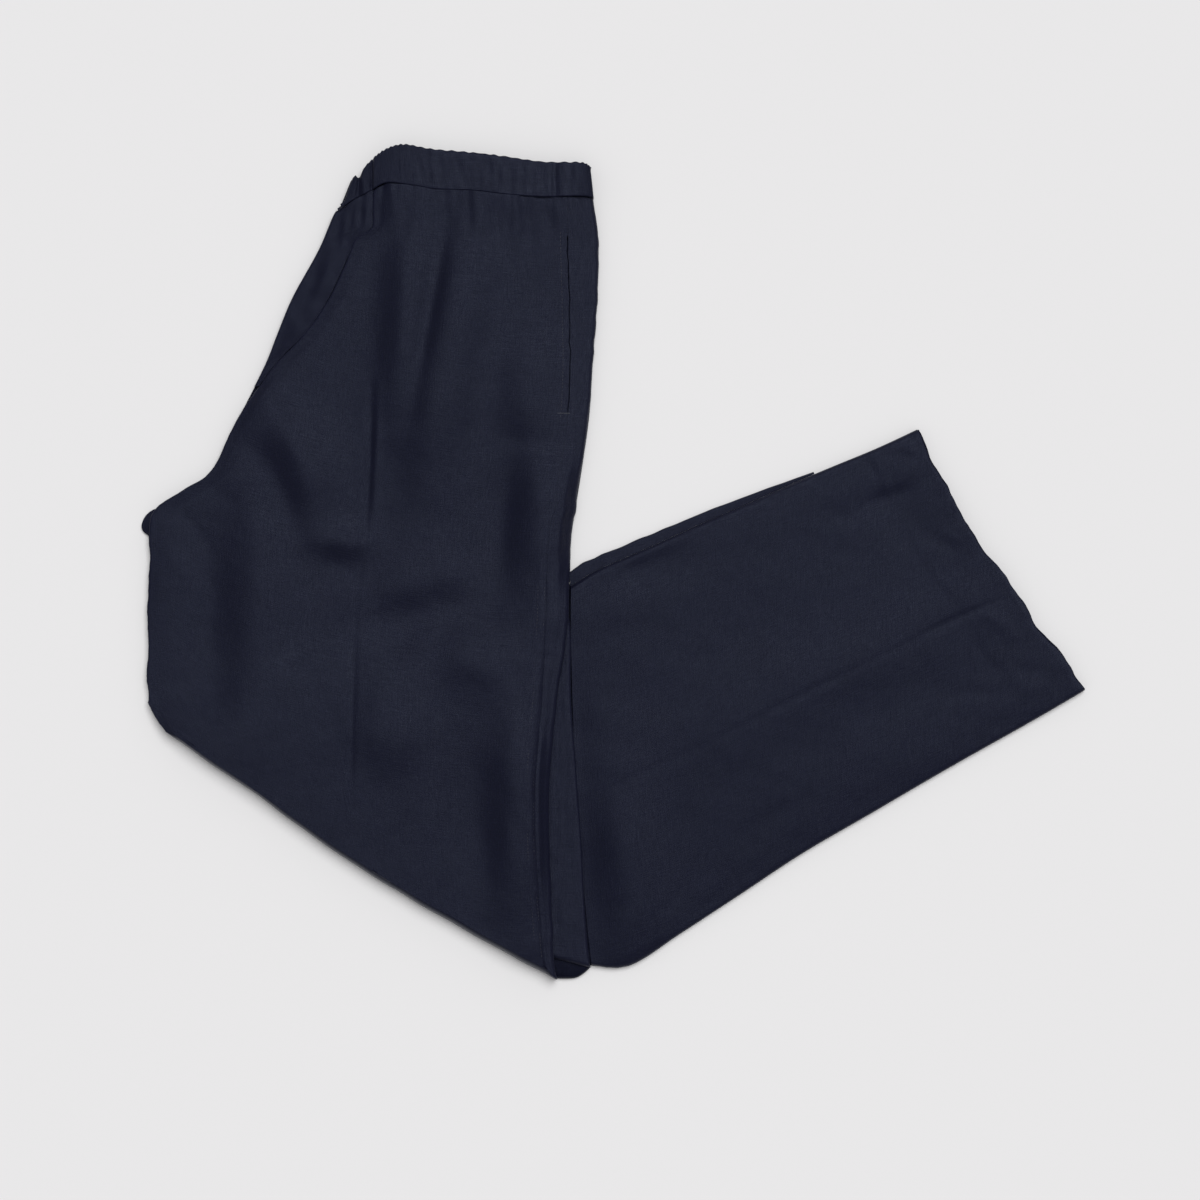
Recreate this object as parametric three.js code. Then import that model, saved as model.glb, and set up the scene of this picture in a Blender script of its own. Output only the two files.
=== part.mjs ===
// Straight-leg trousers with an elastic waist, folded flat: leg on leg along the centre front,
// then both lower legs folded under at the knee, so that they come out at the right.
// Millimetres. X runs to the right of the folded pair, Y towards the waist, Z up from the surface it lies on.
import * as THREE from "three";

// Cloth and gaps
const CLOTH = 1.3;
const BAND_WALL = 3;
const SEAM_GAP = 0.3;
const LAYER_GAP = 0.6;
const BAND_FOOT_GAP = 0.8;

// Heights of the folded stack above the surface
const THIGH_TOP = 9;
const KNEE_TOP = 16.5;
const SHIN_TOP = 8;
const BAND_TOP = 12.8;
const BAND_STEP = 2.2;
const WAIST_RISE = 2.2;
const HIP_DROP = 3;
const CORE_DROP = 3.9;
const LOWEST_RIM = 0.8;
const EDGE_SETTLE = 0.12;
const EDGE_SETTLE_REACH = 22;

// The rolled edges of a leg, and the tall roll of the knee fold
const EDGE_ROLL = { reach: 3.2, depth: 3.2 };
const HIP_ROLL = { reach: 2.2, depth: 1.2 };
const FRONT_ROLL = { reach: 2.6, depth: 2.4 };
const TURNED_EDGE = { reach: 1.2, depth: 0.9 };
const KNEE_ROLL = { reach: 6.5, reachAtInseam: 4.5 };
const ROLL_ANGLES = [90, 60, 32];

// Mesh spacing
const ROW_STEP = 15;
const GATHERS = 34;
const CUTS_PER_GATHER = 3;

// Where the lower legs lie under the thigh: their inseam edge, from the knee fold to the notch
const UNDER_LEG = { x: -30, y: -11, slant: 19.2, before: 24, after: 34 };

// Moves the drawing's middle onto the middle of the folded outline
const CENTRE = { x: 0.75, y: -0.2 };

const COLOUR = { cloth: 0x20222f, back: 0x1e202c, core: 0x1a1c27, band: 0x222431 };

const rows = (columns, values) =>
  values.map((row) => Object.fromEntries(columns.map((column, index) => [column, row[index]])));

// Thigh and hip, one section a row: the side edge, the width of back panel that rolls over it,
// the width and slant of the section to the front edge, the right leg's hip beyond it, and its bow.
const THIGH = rows(
  ["sideX", "sideY", "strip", "width", "slant", "hip", "bow"],
  [
    [-14, 261, 18, 158, 2, 27, 0],
    [-10, 232, 22, 176, 0, 21, 0],
    [-11, 192, 20, 193, 0, 25, 0],
    [-13, 165, 18, 209, 0, 19, 0],
    [-15, 144, 16, 229, -0.5, 7, 0],
    [-18, 106, 15, 253, -0.8, 0, 0],
    [-23, 72, 15, 265, -0.9, 0, 0],
    [-27, 41, 15, 285, 2, 0, 0],
    [-30, 13, 16, 303, 4.1, 0, 0],
    [-32, -45, 16, 305, 8.8, 0, 0],
    [-40, -99, 11, 303, 13.1, 0, 0],
    [-45, -157, 10.5, 307, 19.2, 0, 0],
    [-45, -214, 10.5, 319.5, 24.4, 0, 2],
    [-43, -257, 10, 332.5, 28.8, 0, 4],
    [-42, -283, 9, 342, 31.5, 0, 6],
    [-40.5, -301, 8.5, 334, 32.4, 0, 8],
  ],
);
const HIP_END = 4.4;
const CROTCH = 8;
const KNEE_FOLD = THIGH.length - 1;

// Lower leg, from the thigh's edge to the hem: the inseam point, the section's width and its slant
// below the X axis, its bow towards the hem, and how far the left leg's inseam peeks out above.
const SHIN = rows(
  ["inX", "inY", "width", "slant", "bow", "peek"],
  [
    [-30, -17, 274, 86.9, -4, 11],
    [-22, -12, 281, 83.1, -2, 11.5],
    [-8, -4, 270, 78, 0, 11.5],
    [20, 8, 257, 73.7, 0, 9.5],
    [55, 24, 246, 69.8, 0, 8],
    [94, 41, 238, 64.9, 0, 5.5],
    [146, 63.5, 231, 63.2, 0, 1],
    [189, 81, 225, 60.2, -2, 0],
    [219, 95, 222, 57.2, -6, 0],
  ],
);
const HEM = SHIN.length - 1;
const PEEK_END = 6;

// Right leg's back panel, seen beside the knee: each section's height and its two ends
const KNEE_STRIP = rows(
  ["y", "from", "to"],
  [
    [-40, -36, -31],
    [-55, -37.5, -29.9],
    [-96, -42.5, -29.9],
    [-137, -46, -27],
    [-203, -46.5, -22.2],
    [-239, -45.5, -20.5],
    [-271, -38.5, -17.6],
    [-287, -36.5, -15],
    [-295, -34.5, -19],
    [-299, -32, -26],
  ],
);
// Side pocket: the places of its facing, and its slit between two heights on the page
const POCKET = { from: 1, to: 5, foot: 104, head: 240, slit: 1.1 };

const STRIP_BELOW = 3.8;
const STRIP_ROLL = { reach: 2.4, depth: 2 };

// Waistband, one section a row from the right leg's end to the side: its foot, height and lean
const BAND = rows(
  ["footX", "footY", "height", "lean"],
  [
    [-198, 253, 24, -22],
    [-186, 261.5, 22, -13],
    [-173, 268, 23.5, -3],
    [-163, 273, 25, -2],
    [-149, 272, 29, 2],
    [-127, 268.5, 29.5, 8],
    [-101, 267.5, 28, 6],
    [-80, 265, 27.5, -2],
    [-52, 263, 25.5, -4],
    [-24, 263.5, 24.5, -2],
    [-13.5, 262.5, 22.5, 6],
  ],
);
const BAND_END = BAND.length - 1;
const CENTRE_FRONT_X = -172;
const BAND_ROLL = { reach: 2.6, depth: 3 };
const GATHER = { height: 0.55, scallop: 0.8 };

// Largest folds: each runs from one point to another, bent sideways, with a half width and a rise.
const FOLDS = rows(
  ["fromX", "fromY", "toX", "toY", "bend", "spread", "rise"],
  [
    [-134, 265, -170, 143, 4, 7, -1.7],
    [-108, 262, -149, 80, 12, 8, -1.5],
    [-84, 266, -84, 224, 0, 4.5, -0.9],
    [-60, 266, -60, 221, 0, 4.5, -0.9],
    [-122, 266, -128, 222, 0, 6, 0.8],
    [-95, 266, -97, 214, 0, 6, 0.7],
    [-72, 152, -72, 104, 0, 13, -1],
    [-260, 110, -233, -2, 26, 8, -1.7],
    [-233, -3, -184, -3, -10, 7, -1.1],
    [-266, 46, -265, -100, 18, 8, -1.2],
    [-49, 78, -90, -30, -16, 8, -1.5],
    [-124, -70, -70, -257, 40, 9, -1.4],
    [-150, -62, -112, -78, 0, 14, 0.9],
    [-8, -17, 66, 12, 0, 7, -1],
    [-23, -171, 284, -22, 0, 11, 0.8],
    [-17, -225, -6, -286, 0, 8, -1.6],
    [156, 33, 226, 55, 0, 6, -0.8],
    [190, -140, 262, -98, 0, 14, -0.7],
    [60, -190, 150, -135, 0, 16, -0.6],
  ],
);

const smooth = THREE.MathUtils.smoothstep;
const radians = THREE.MathUtils.degToRad;

// One value of a table between its rows, on a smooth curve through them
function curveValue(before, from, to, after, share) {
  const rise = (to - before) / 2;
  const fall = (after - from) / 2;
  const square = share * share;
  const cube = square * share;
  return (
    (2 * cube - 3 * square + 1) * from +
    (cube - 2 * square + share) * rise +
    (3 * square - 2 * cube) * to +
    (cube - square) * fall
  );
}

function sample(table, place) {
  const index = THREE.MathUtils.clamp(Math.floor(place), 0, table.length - 2);
  const row = (offset) => table[THREE.MathUtils.clamp(index + offset, 0, table.length - 1)];
  const value = (column) =>
    curveValue(row(-1)[column], row(0)[column], row(1)[column], row(2)[column], place - index);
  return Object.fromEntries(Object.keys(table[0]).map((column) => [column, value(column)]));
}

// Height on the page of the waistband's foot at a point of the waist
function footAt(x) {
  const found = BAND.findIndex((row) => row.footX > x);
  const index = found < 0 ? BAND.length - 1 : Math.max(1, found);
  const [before, after] = [BAND[index - 1], BAND[index]];
  const share = THREE.MathUtils.clamp((x - before.footX) / (after.footX - before.footX), 0, 1);
  return THREE.MathUtils.lerp(before.footY, after.footY, share);
}

// Point of a thigh section, measured from the side edge towards the front. The sections next to
// the waist bend to follow the waistband's foot.
function thighPoint(place, distance) {
  const { sideX, sideY, width, slant, bow } = sample(THIGH, place);
  const share = THREE.MathUtils.clamp(distance / width, 0, 1);
  const sag = 4 * bow * share * (1 - share);
  const [sin, cos] = [Math.sin(radians(slant)), Math.cos(radians(slant))];
  const [x, y] = [sideX - cos * distance - sin * sag, sideY + sin * distance - cos * sag];
  const waist = THIGH[0].sideY + (THIGH[0].sideX - x) * Math.tan(radians(THIGH[0].slant));
  const follow = Math.max(0, 1 - place) ** 2;
  return [x, y + (footAt(x) - BAND_FOOT_GAP - waist) * follow];
}

// Point of a lower leg section, measured from the inseam
function shinPoint(place, distance) {
  const { inX, inY, width, slant, bow } = sample(SHIN, place);
  const share = THREE.MathUtils.clamp(distance / width, 0, 1);
  const sag = 4 * bow * share * (1 - share);
  const [sin, cos] = [Math.sin(radians(slant)), Math.cos(radians(slant))];
  return [inX + cos * distance + sin * sag, inY - sin * distance + cos * sag];
}

// Point of the waistband, measured up from its foot as a share of its height
function bandPoint(place, share) {
  const { footX, footY, height, lean } = sample(BAND, place);
  const angle = radians(lean);
  return [footX - Math.sin(angle) * height * share, footY + Math.cos(angle) * height * share];
}

// Height that one fold adds at a point
function foldRise(fold, x, y) {
  const { fromX, fromY, toX, toY, bend, spread, rise } = fold;
  const length = Math.hypot(toX - fromX, toY - fromY);
  const along = [(toX - fromX) / length, (toY - fromY) / length];
  const reach = ((x - fromX) * along[0] + (y - fromY) * along[1]) / length;
  const inside = THREE.MathUtils.clamp(reach, 0, 1);
  const side = (x - fromX) * -along[1] + (y - fromY) * along[0];
  const offset = side - bend * 4 * inside * (1 - inside) * 0.5;
  const past = (reach - inside) * length;
  const fade = Math.min(1, 0.35 + 2.2 * inside, 0.35 + 2.2 * (1 - inside));
  return rise * fade * Math.exp(-(offset * offset + past * past) / (2 * spread * spread));
}

const foldsAt = (x, y) => FOLDS.reduce((sum, fold) => sum + foldRise(fold, x, y), 0);

// Height of the thigh's top layer: it climbs over the lower legs, and up to the waistband
function thighHeight(x, y) {
  const angle = radians(UNDER_LEG.slant);
  const past = (x - UNDER_LEG.x) * Math.sin(angle) - (y - UNDER_LEG.y) * Math.cos(angle);
  const climb = smooth(past, -UNDER_LEG.before, UNDER_LEG.after);
  const waist = smooth(y, 225, 268);
  return THIGH_TOP + (KNEE_TOP - THIGH_TOP) * climb + WAIST_RISE * waist;
}

// The stack settles a little towards its edges
function settled(...distances) {
  const share = Math.min(...distances.map((distance) => smooth(distance, 0, EDGE_SETTLE_REACH)));
  return 1 - EDGE_SETTLE * (1 - share);
}

// Places across a section, with the turns of its rolled edges: distance from the edge and drop
function rolled(roll) {
  if (!roll) return [{ distance: 0, drop: 0 }];
  return ROLL_ANGLES.map((angle) => ({
    distance: roll.reach * (1 - Math.sin(radians(angle))),
    drop: roll.depth * (1 - Math.cos(radians(angle))),
  }));
}

function across(width, cells, startRoll, endRoll) {
  const start = rolled(startRoll);
  const end = rolled(endRoll);
  const from = startRoll ? startRoll.reach : 0;
  const to = width - (endRoll ? endRoll.reach : 0);
  const inner = [];
  for (let cell = startRoll ? 0 : 1; cell <= cells - (endRoll ? 0 : 1); cell += 1) {
    inner.push({ distance: from + ((to - from) * cell) / cells, drop: 0 });
  }
  const back = end.map(({ distance, drop }) => ({ distance: width - distance, drop })).reverse();
  return [...start, ...inner, ...back];
}

// Rows of a table from one place to another, close enough to follow the curve
function placesAlong(point, from, to, step = ROW_STEP) {
  const places = [from];
  let place = from;
  while (place < to - 1e-6) {
    const next = Math.min(to, Math.floor(place + 1 + 1e-6));
    const [startX, startY] = point(place);
    const [endX, endY] = point(next);
    const cells = Math.max(1, Math.ceil(Math.hypot(endX - startX, endY - startY) / step));
    for (let cell = 1; cell <= cells; cell += 1) places.push(place + ((next - place) * cell) / cells);
    place = next;
  }
  return places;
}

// Closed solids from points and faces
function solid(points, faces) {
  let volume = 0;
  for (const [a, b, c] of faces) volume += points[a].dot(points[b].clone().cross(points[c]));
  const outward = volume > 0 ? faces : faces.map(([a, b, c]) => [a, c, b]);
  const geometry = new THREE.BufferGeometry();
  geometry.setAttribute("position", new THREE.Float32BufferAttribute(points.flatMap((p) => p.toArray()), 3));
  geometry.setIndex(outward.flat());
  geometry.computeVertexNormals();
  return geometry;
}

// Normals of a grid of points, pointing up
function gridNormals(grid) {
  const cell = (row, column) => {
    const at = (r, c) =>
      grid[THREE.MathUtils.clamp(r, 0, grid.length - 1)][THREE.MathUtils.clamp(c, 0, grid[0].length - 1)];
    const along = at(row + 1, column).clone().sub(at(row - 1, column));
    const over = at(row, column + 1).clone().sub(at(row, column - 1));
    return over.cross(along).normalize();
  };
  const normals = grid.map((line, row) => line.map((_, column) => cell(row, column)));
  const up = normals.flat().reduce((sum, normal) => sum + normal.z, 0) > 0 ? 1 : -1;
  return normals.map((line) => line.map((normal) => normal.multiplyScalar(up)));
}

// A wall of cloth: a grid of outer points, and the same grid moved in by the wall's thickness
function wall(grid, thickness = CLOTH) {
  const normals = gridNormals(grid);
  const [rowCount, columnCount] = [grid.length, grid[0].length];
  const outer = grid.flat();
  const inner = grid.flatMap((line, row) =>
    line.map((point, column) => point.clone().addScaledVector(normals[row][column], -thickness)),
  );
  const size = outer.length;
  const faces = [];
  const quad = (a, b, c, d) => faces.push([a, b, c], [a, c, d]);
  for (let row = 0; row < rowCount - 1; row += 1) {
    for (let column = 0; column < columnCount - 1; column += 1) {
      const a = row * columnCount + column;
      const [b, c, d] = [a + 1, a + columnCount + 1, a + columnCount];
      quad(a, b, c, d);
      quad(size + a, size + d, size + c, size + b);
    }
  }
  const rim = [];
  for (let column = 0; column < columnCount - 1; column += 1) rim.push(column);
  for (let row = 0; row < rowCount - 1; row += 1) rim.push(row * columnCount + columnCount - 1);
  for (let column = columnCount - 1; column > 0; column -= 1) rim.push((rowCount - 1) * columnCount + column);
  for (let row = rowCount - 1; row > 0; row -= 1) rim.push(row * columnCount);
  rim.forEach((here, index) => {
    const next = rim[(index + 1) % rim.length];
    quad(next, here, size + here, size + next);
  });
  return solid([...outer, ...inner], faces);
}

// Rows of a thigh panel between two distances from the side edge, down to the knee fold's rim
function thighRows(from, to, cells, startRoll, endRoll, drop = 0) {
  const line = (place, shift, sink) => {
    const row = sample(THIGH, place);
    const [start, end] = [from(row), to(row)];
    const angle = radians(row.slant);
    return across(start - end, cells, startRoll, endRoll).map(({ distance, drop: turn }) => {
      const reach = start - distance;
      const [x, y] = thighPoint(place, reach);
      const front = THREE.MathUtils.clamp(reach / row.width, 0, 1);
      const inward = shift * THREE.MathUtils.lerp(KNEE_ROLL.reach, KNEE_ROLL.reachAtInseam, front);
      const height = thighHeight(x, y) * settled(reach, row.width - reach) - drop;
      const top = height + foldsAt(x, y) * settledFold(reach, row.width - reach);
      const z = LOWEST_RIM + (top - turn - LOWEST_RIM) * (1 - sink);
      return new THREE.Vector3(x + Math.sin(angle) * inward, y + Math.cos(angle) * inward, z);
    });
  };
  const places = placesAlong((place) => thighPoint(place, THIGH[0].width), 0, KNEE_FOLD - 1);
  const regular = places.map((place) => line(place, 0, 0));
  const turns = [...ROLL_ANGLES, 8].reverse().map((angle) => {
    const turn = radians(angle);
    return line(KNEE_FOLD, 1 - Math.sin(turn), 1 - Math.cos(turn));
  });
  return [...regular, ...turns];
}

const settledFold = (...distances) => Math.min(...distances.map((distance) => smooth(distance, 0, 9)));

const pocketGap = (row) => (row.sideY > POCKET.foot && row.sideY < POCKET.head ? POCKET.slit : SEAM_GAP);

// Left leg's front panel, from the waist seam to the knee fold
function frontLeft() {
  const seam = (row) => row.strip + pocketGap(row);
  return wall(thighRows((row) => row.width, seam, 19, FRONT_ROLL, null));
}

// Left leg's back panel, rolled over the side edge
function backLeft() {
  return wall(thighRows((row) => row.strip, () => 0, 2, null, EDGE_ROLL));
}

// The pocket's facing, under its slit
function pocketFacing() {
  const grid = placesAlong((place) => thighPoint(place, 0), POCKET.from, POCKET.to, 30).map((place) => {
    const { strip } = sample(THIGH, place);
    return [strip + 9, strip + 4, strip - 4, strip - 8].map((reach) => {
      const [x, y] = thighPoint(place, reach);
      const top = thighHeight(x, y) * settled(reach);
      return new THREE.Vector3(x, y, top + foldsAt(x, y) - CLOTH - LAYER_GAP);
    });
  });
  return wall(grid, 1);
}

// Right leg's front panel beside the centre front
function frontRightHip() {
  const grid = placesAlong((place) => thighPoint(place, 0), 0, HIP_END).map((place) => {
    const row = sample(THIGH, place);
    return across(row.hip - SEAM_GAP, 2, HIP_ROLL, null).map(({ distance, drop }) => {
      const [x, y] = thighPoint(place, row.width + row.hip - distance);
      return new THREE.Vector3(x, y, thighHeight(x, y) - HIP_DROP - drop);
    });
  });
  return wall(grid);
}

// Right leg's front panel on the lower leg, from the thigh's edge to the hem
function frontRightShin() {
  const end = HEM - 0.02;
  const places = [...placesAlong((place) => shinPoint(place, 0), 0, end), HEM];
  const grid = places.map((place) => {
    const { width } = sample(SHIN, place);
    return across(width, 17, EDGE_ROLL, EDGE_ROLL).map(({ distance, drop }) => {
      const [x, y] = shinPoint(place, distance);
      const height = SHIN_TOP * settled(distance, width - distance);
      const fold = foldsAt(x, y) * settledFold(distance, width - distance);
      const turned = place === HEM ? TURNED_EDGE.depth : 0;
      return new THREE.Vector3(x, y, height + fold - drop - turned);
    });
  });
  return wall(grid);
}

// Left leg's inseam edge, peeking out above the right leg's
function backLeftShin() {
  const start = 0.35;
  const grid = placesAlong((place) => shinPoint(place, 0), start, PEEK_END, 20).map((place) => {
    const { peek } = sample(SHIN, place);
    const roll = { reach: 1.6, depth: 1.6 };
    return across(peek + 1, 1, roll, null).map(({ distance, drop }) => {
      const [x, y] = shinPoint(place, distance - peek - 1 - SEAM_GAP);
      return new THREE.Vector3(x, y, 3.6 - drop);
    });
  });
  return wall(grid);
}

// Right leg's back panel beside the knee
function backRightKnee() {
  const places = placesAlong((place) => [sample(KNEE_STRIP, place).to, sample(KNEE_STRIP, place).y],
    0, KNEE_STRIP.length - 1, 20);
  const grid = places.map((place) => {
    const { y, from, to } = sample(KNEE_STRIP, place);
    const low = smooth(-y, 280, 299) * 1.2;
    return across(to - from, 2, null, STRIP_ROLL).map(({ distance, drop }) => {
      const top = thighHeight(from, y) * (1 - EDGE_SETTLE) - STRIP_BELOW;
      return new THREE.Vector3(from + distance, y, top - low - drop);
    });
  });
  return wall(grid);
}

// Right leg's back crotch point, peeking out beside the left leg's
const CROTCH_POINT = rows(
  ["y", "out"],
  [[38, 1.4], [34, 4.2], [28, 6.6], [21, 5], [16, 1.4]],
);

function backRightCrotch() {
  const base = -333.5;
  const shares = [0, 0.4, 0.75, 1];
  const grid = CROTCH_POINT.map(({ y, out }) =>
    shares.map((share) => new THREE.Vector3(base - out * (1 - share), y, 3.4 + 1.2 * Math.sin(share * 2))));
  return wall(grid, 1.4);
}

// Waistband with its gathers: even waves of uneven height, scalloped along the top
function gatherWave(share) {
  const turn = share * GATHERS * 2 * Math.PI;
  const uneven = 0.75 + 0.25 * Math.sin(share * 37) * Math.cos(share * 23);
  return Math.cos(turn) * uneven;
}

function bandHeight(x) {
  return BAND_TOP - BAND_STEP * (1 - smooth(x, CENTRE_FRONT_X - 2.5, CENTRE_FRONT_X + 2.5));
}

function waistband() {
  const cuts = GATHERS * CUTS_PER_GATHER;
  const grid = [];
  for (let cut = 0; cut <= cuts; cut += 1) {
    const share = cut / cuts;
    const place = share * BAND_END;
    const { height } = sample(BAND, place);
    const wave = gatherWave(share);
    const end = Math.min(share, 1 - share) * 190;
    const endDrop = 3 * (1 - Math.sqrt(1 - (1 - Math.min(1, end / 3)) ** 2));
    const line = across(height + GATHER.scallop * wave, 1, TURNED_EDGE, BAND_ROLL);
    grid.push(line.map(({ distance, drop }) => {
      const [x, y] = bandPoint(place, distance / height);
      const puff = GATHER.height * wave * Math.min(1, distance / 5);
      return new THREE.Vector3(x, y, bandHeight(x) + puff - drop - endDrop);
    }));
  }
  return wall(grid, BAND_WALL);
}

// The hidden layers: one rounded solid under the panels, with the edges of its layers showing
const LAYER_EDGE = rows(
  ["inset", "share"],
  [[1.6, 0], [0.4, 0.2], [1.5, 0.45], [0.4, 0.7], [1.9, 0.93]],
);
const CORE_SPREAD = [0.012, 0.035, 0.08, 0.15, 0.27, 0.4, 0.53, 0.66, 0.78, 0.87, 0.94, 0.975];

// One ring of it: along a section, up its near side, over its top and down its far side
function coreRing({ point, width, edge, top, startInset = 0, endInset = 0 }) {
  const at = (distance, z) => {
    const [x, y] = point(distance);
    return new THREE.Vector3(x, y, z);
  };
  const side = (base, sign, inset) =>
    LAYER_EDGE.map((row) => at(base + sign * (row.inset + inset), row.share * edge));
  const near = side(0, 1, startInset);
  const far = side(width, -1, endInset).reverse();
  const from = startInset + 3.6;
  const to = width - endInset - 3.6;
  const over = CORE_SPREAD.map((share) => {
    const distance = from + (to - from) * share;
    const [x, y] = point(distance);
    return at(distance, top(x, y, distance));
  });
  return [...near, ...over, ...far];
}

const coreTop = (x, y) => thighHeight(x, y) * (1 - EDGE_SETTLE) - CORE_DROP;
const straight = (start, end, bow = 0) => {
  const width = Math.hypot(end[0] - start[0], end[1] - start[1]);
  const along = [(end[0] - start[0]) / width, (end[1] - start[1]) / width];
  const point = (distance) => {
    const sag = (4 * bow * distance * (width - distance)) / (width * width);
    return [start[0] + along[0] * distance + along[1] * sag, start[1] + along[1] * distance - along[0] * sag];
  };
  return { point, width };
};

// Rings under the waistband, from its top edge to its foot
function bandRings() {
  return [0.9, 0.45, 0.02].map((share) => {
    const width = 184;
    const point = (distance) => bandPoint((1 - distance / width) * BAND_END, share);
    const top = (x) => bandHeight(x) - BAND_WALL - LAYER_GAP - 2.6;
    return coreRing({ point, width, edge: 5.6, top });
  });
}

// Rings across hip and thigh, from the waist seam to the crotch
function thighRings() {
  return placesAlong((place) => thighPoint(place, 0), 0.35, CROTCH, 26).map((place) => {
    const row = sample(THIGH, place);
    const hip = Math.max(0, row.hip);
    const width = row.width + hip;
    const low = (distance) => (hip > 1 && distance > width - hip - 12 ? 1.7 : 0);
    const top = (x, y, distance) => coreTop(x, y) - low(distance);
    return coreRing({ point: (distance) => thighPoint(place, distance), width, edge: 3.6, top });
  });
}

// Rings fanned about the notch, round the knee fold
const NOTCH = { fromX: -30, fromY: 8, toX: -31, toY: -13 };
const KNEE_INSET = 8.5;

function fanRings() {
  const ends = [];
  for (const place of [8.6, 9.3, 10, 11, 12, 13]) {
    const { width } = sample(THIGH, place);
    ends.push({ end: thighPoint(place, width), inset: smooth(place, 11.5, 13) * 4, edge: 3.6 });
  }
  const foldWidth = sample(THIGH, KNEE_FOLD).width;
  for (const share of [0.96, 0.86, 0.74, 0.6, 0.46, 0.32, 0.2, 0.1]) {
    ends.push({ end: thighPoint(KNEE_FOLD, foldWidth * share), inset: KNEE_INSET, edge: 5 });
  }
  return ends.map(({ end, inset, edge }, index) => {
    const share = (index + 1) / (ends.length + 1);
    const start = [
      THREE.MathUtils.lerp(NOTCH.fromX, NOTCH.toX, share),
      THREE.MathUtils.lerp(NOTCH.fromY, NOTCH.toY, share),
    ];
    return coreRing({ ...straight(start, end), edge, endInset: inset, top: coreTop });
  });
}

// Rings where the thigh's edge steps down to the lower leg
const KNEE_STEP = rows(
  ["fromX", "fromY", "toX", "toY", "bow", "top", "inset"],
  [
    [-36, -14, -48, -297, 10, 10.5, 14],
    [-34.6, -14.4, -43, -297, 10, 8.2, 13],
    [-32, -15, -23, -296, 4, 8.2, 12],
    [-30.6, -15.5, -19.5, -292, 4, 3.3, 1],
  ],
);

function stepRings() {
  return KNEE_STEP.map(({ fromX, fromY, toX, toY, bow, top, inset }) =>
    coreRing({
      ...straight([fromX, fromY], [toX, toY], bow),
      edge: 3,
      endInset: inset,
      top: (x, y) => Math.min(top, coreTop(x, y)),
    }));
}

// Rings across the lower leg, to the hem
function shinRings() {
  const end = HEM - 0.06;
  return placesAlong((place) => shinPoint(place, 0), 0.5, end, 26).map((place) => {
    const { width } = sample(SHIN, place);
    const peek = Math.max(0, sample(SHIN, place).peek);
    const lower = (distance) => (distance < peek + 4 ? 0 : 1);
    const top = (x, y, distance) => 1.4 + (SHIN_TOP * (1 - EDGE_SETTLE) - CORE_DROP + 0.3 - 1.4) * lower(distance);
    const edge = 2.6;
    return coreRing({ point: (distance) => shinPoint(place, distance), width, edge, top });
  });
}

// Joins rings into one closed solid, with flat ends
function loft(rings) {
  const count = rings[0].length;
  const faces = [];
  for (let ring = 0; ring < rings.length - 1; ring += 1) {
    for (let index = 0; index < count; index += 1) {
      const next = (index + 1) % count;
      const [a, b] = [ring * count + index, ring * count + next];
      faces.push([a, b, b + count], [a, b + count, a + count]);
    }
  }
  const cap = (ring, flip) => {
    for (let index = 1; index < count - 1; index += 1) {
      const face = [ring * count, ring * count + index, ring * count + index + 1];
      faces.push(flip ? [face[0], face[2], face[1]] : face);
    }
  };
  cap(0, true);
  cap(rings.length - 1, false);
  return solid(rings.flat(), faces);
}

function hiddenLayers() {
  return loft([...bandRings(), ...thighRings(), ...fanRings(), ...stepRings(), ...shinRings()]);
}

const PIECES = [
  ["hidden_layers", hiddenLayers, COLOUR.core],
  ["front_left", frontLeft, COLOUR.cloth],
  ["back_left", backLeft, COLOUR.back],
  ["pocket_facing", pocketFacing, COLOUR.core],
  ["front_right_hip", frontRightHip, COLOUR.cloth],
  ["front_right_shin", frontRightShin, COLOUR.cloth],
  ["back_left_shin", backLeftShin, COLOUR.back],
  ["back_right_knee", backRightKnee, COLOUR.back],
  ["back_right_crotch", backRightCrotch, COLOUR.back],
  ["waistband", waistband, COLOUR.band],
];

const trousers = new THREE.Group();
for (const [name, build, color] of PIECES) {
  const material = new THREE.MeshStandardMaterial({ color, roughness: 0.85, metalness: 0 });
  const mesh = new THREE.Mesh(build(), material);
  mesh.name = name;
  mesh.position.set(CENTRE.x, CENTRE.y, 0);
  trousers.add(mesh);
}

export default trousers;
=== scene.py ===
# Folded straight-leg trousers: the cloth that shows, its creases, gathers, hems and stitches.
# The garment lies folded leg on leg, with both lower legs folded under at the knee.
# Left and right are the wearer's. Sizes in the tables are millimetres, measured from the middle of the
# folded outline: x towards the hems, y towards the waist.
import math

import bpy
import numpy as np
from bpy.props import FloatProperty, FloatVectorProperty, PointerProperty
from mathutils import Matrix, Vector


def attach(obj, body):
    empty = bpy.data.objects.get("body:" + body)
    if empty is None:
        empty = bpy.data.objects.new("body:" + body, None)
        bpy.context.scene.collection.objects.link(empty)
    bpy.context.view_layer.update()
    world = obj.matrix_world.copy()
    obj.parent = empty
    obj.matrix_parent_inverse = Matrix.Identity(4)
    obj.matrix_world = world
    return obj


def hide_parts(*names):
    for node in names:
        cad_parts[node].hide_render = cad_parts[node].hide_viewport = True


bl_info = {
    "name": "Folded straight-leg trousers",
    "version": (1, 0, 0),
    "blender": (4, 5, 0),
    "location": "3D View > Sidebar > Trousers",
    "description": "Makes the cloth, hems, waistband and stitches of a pair of folded trousers",
    "category": "Object",
}

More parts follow.
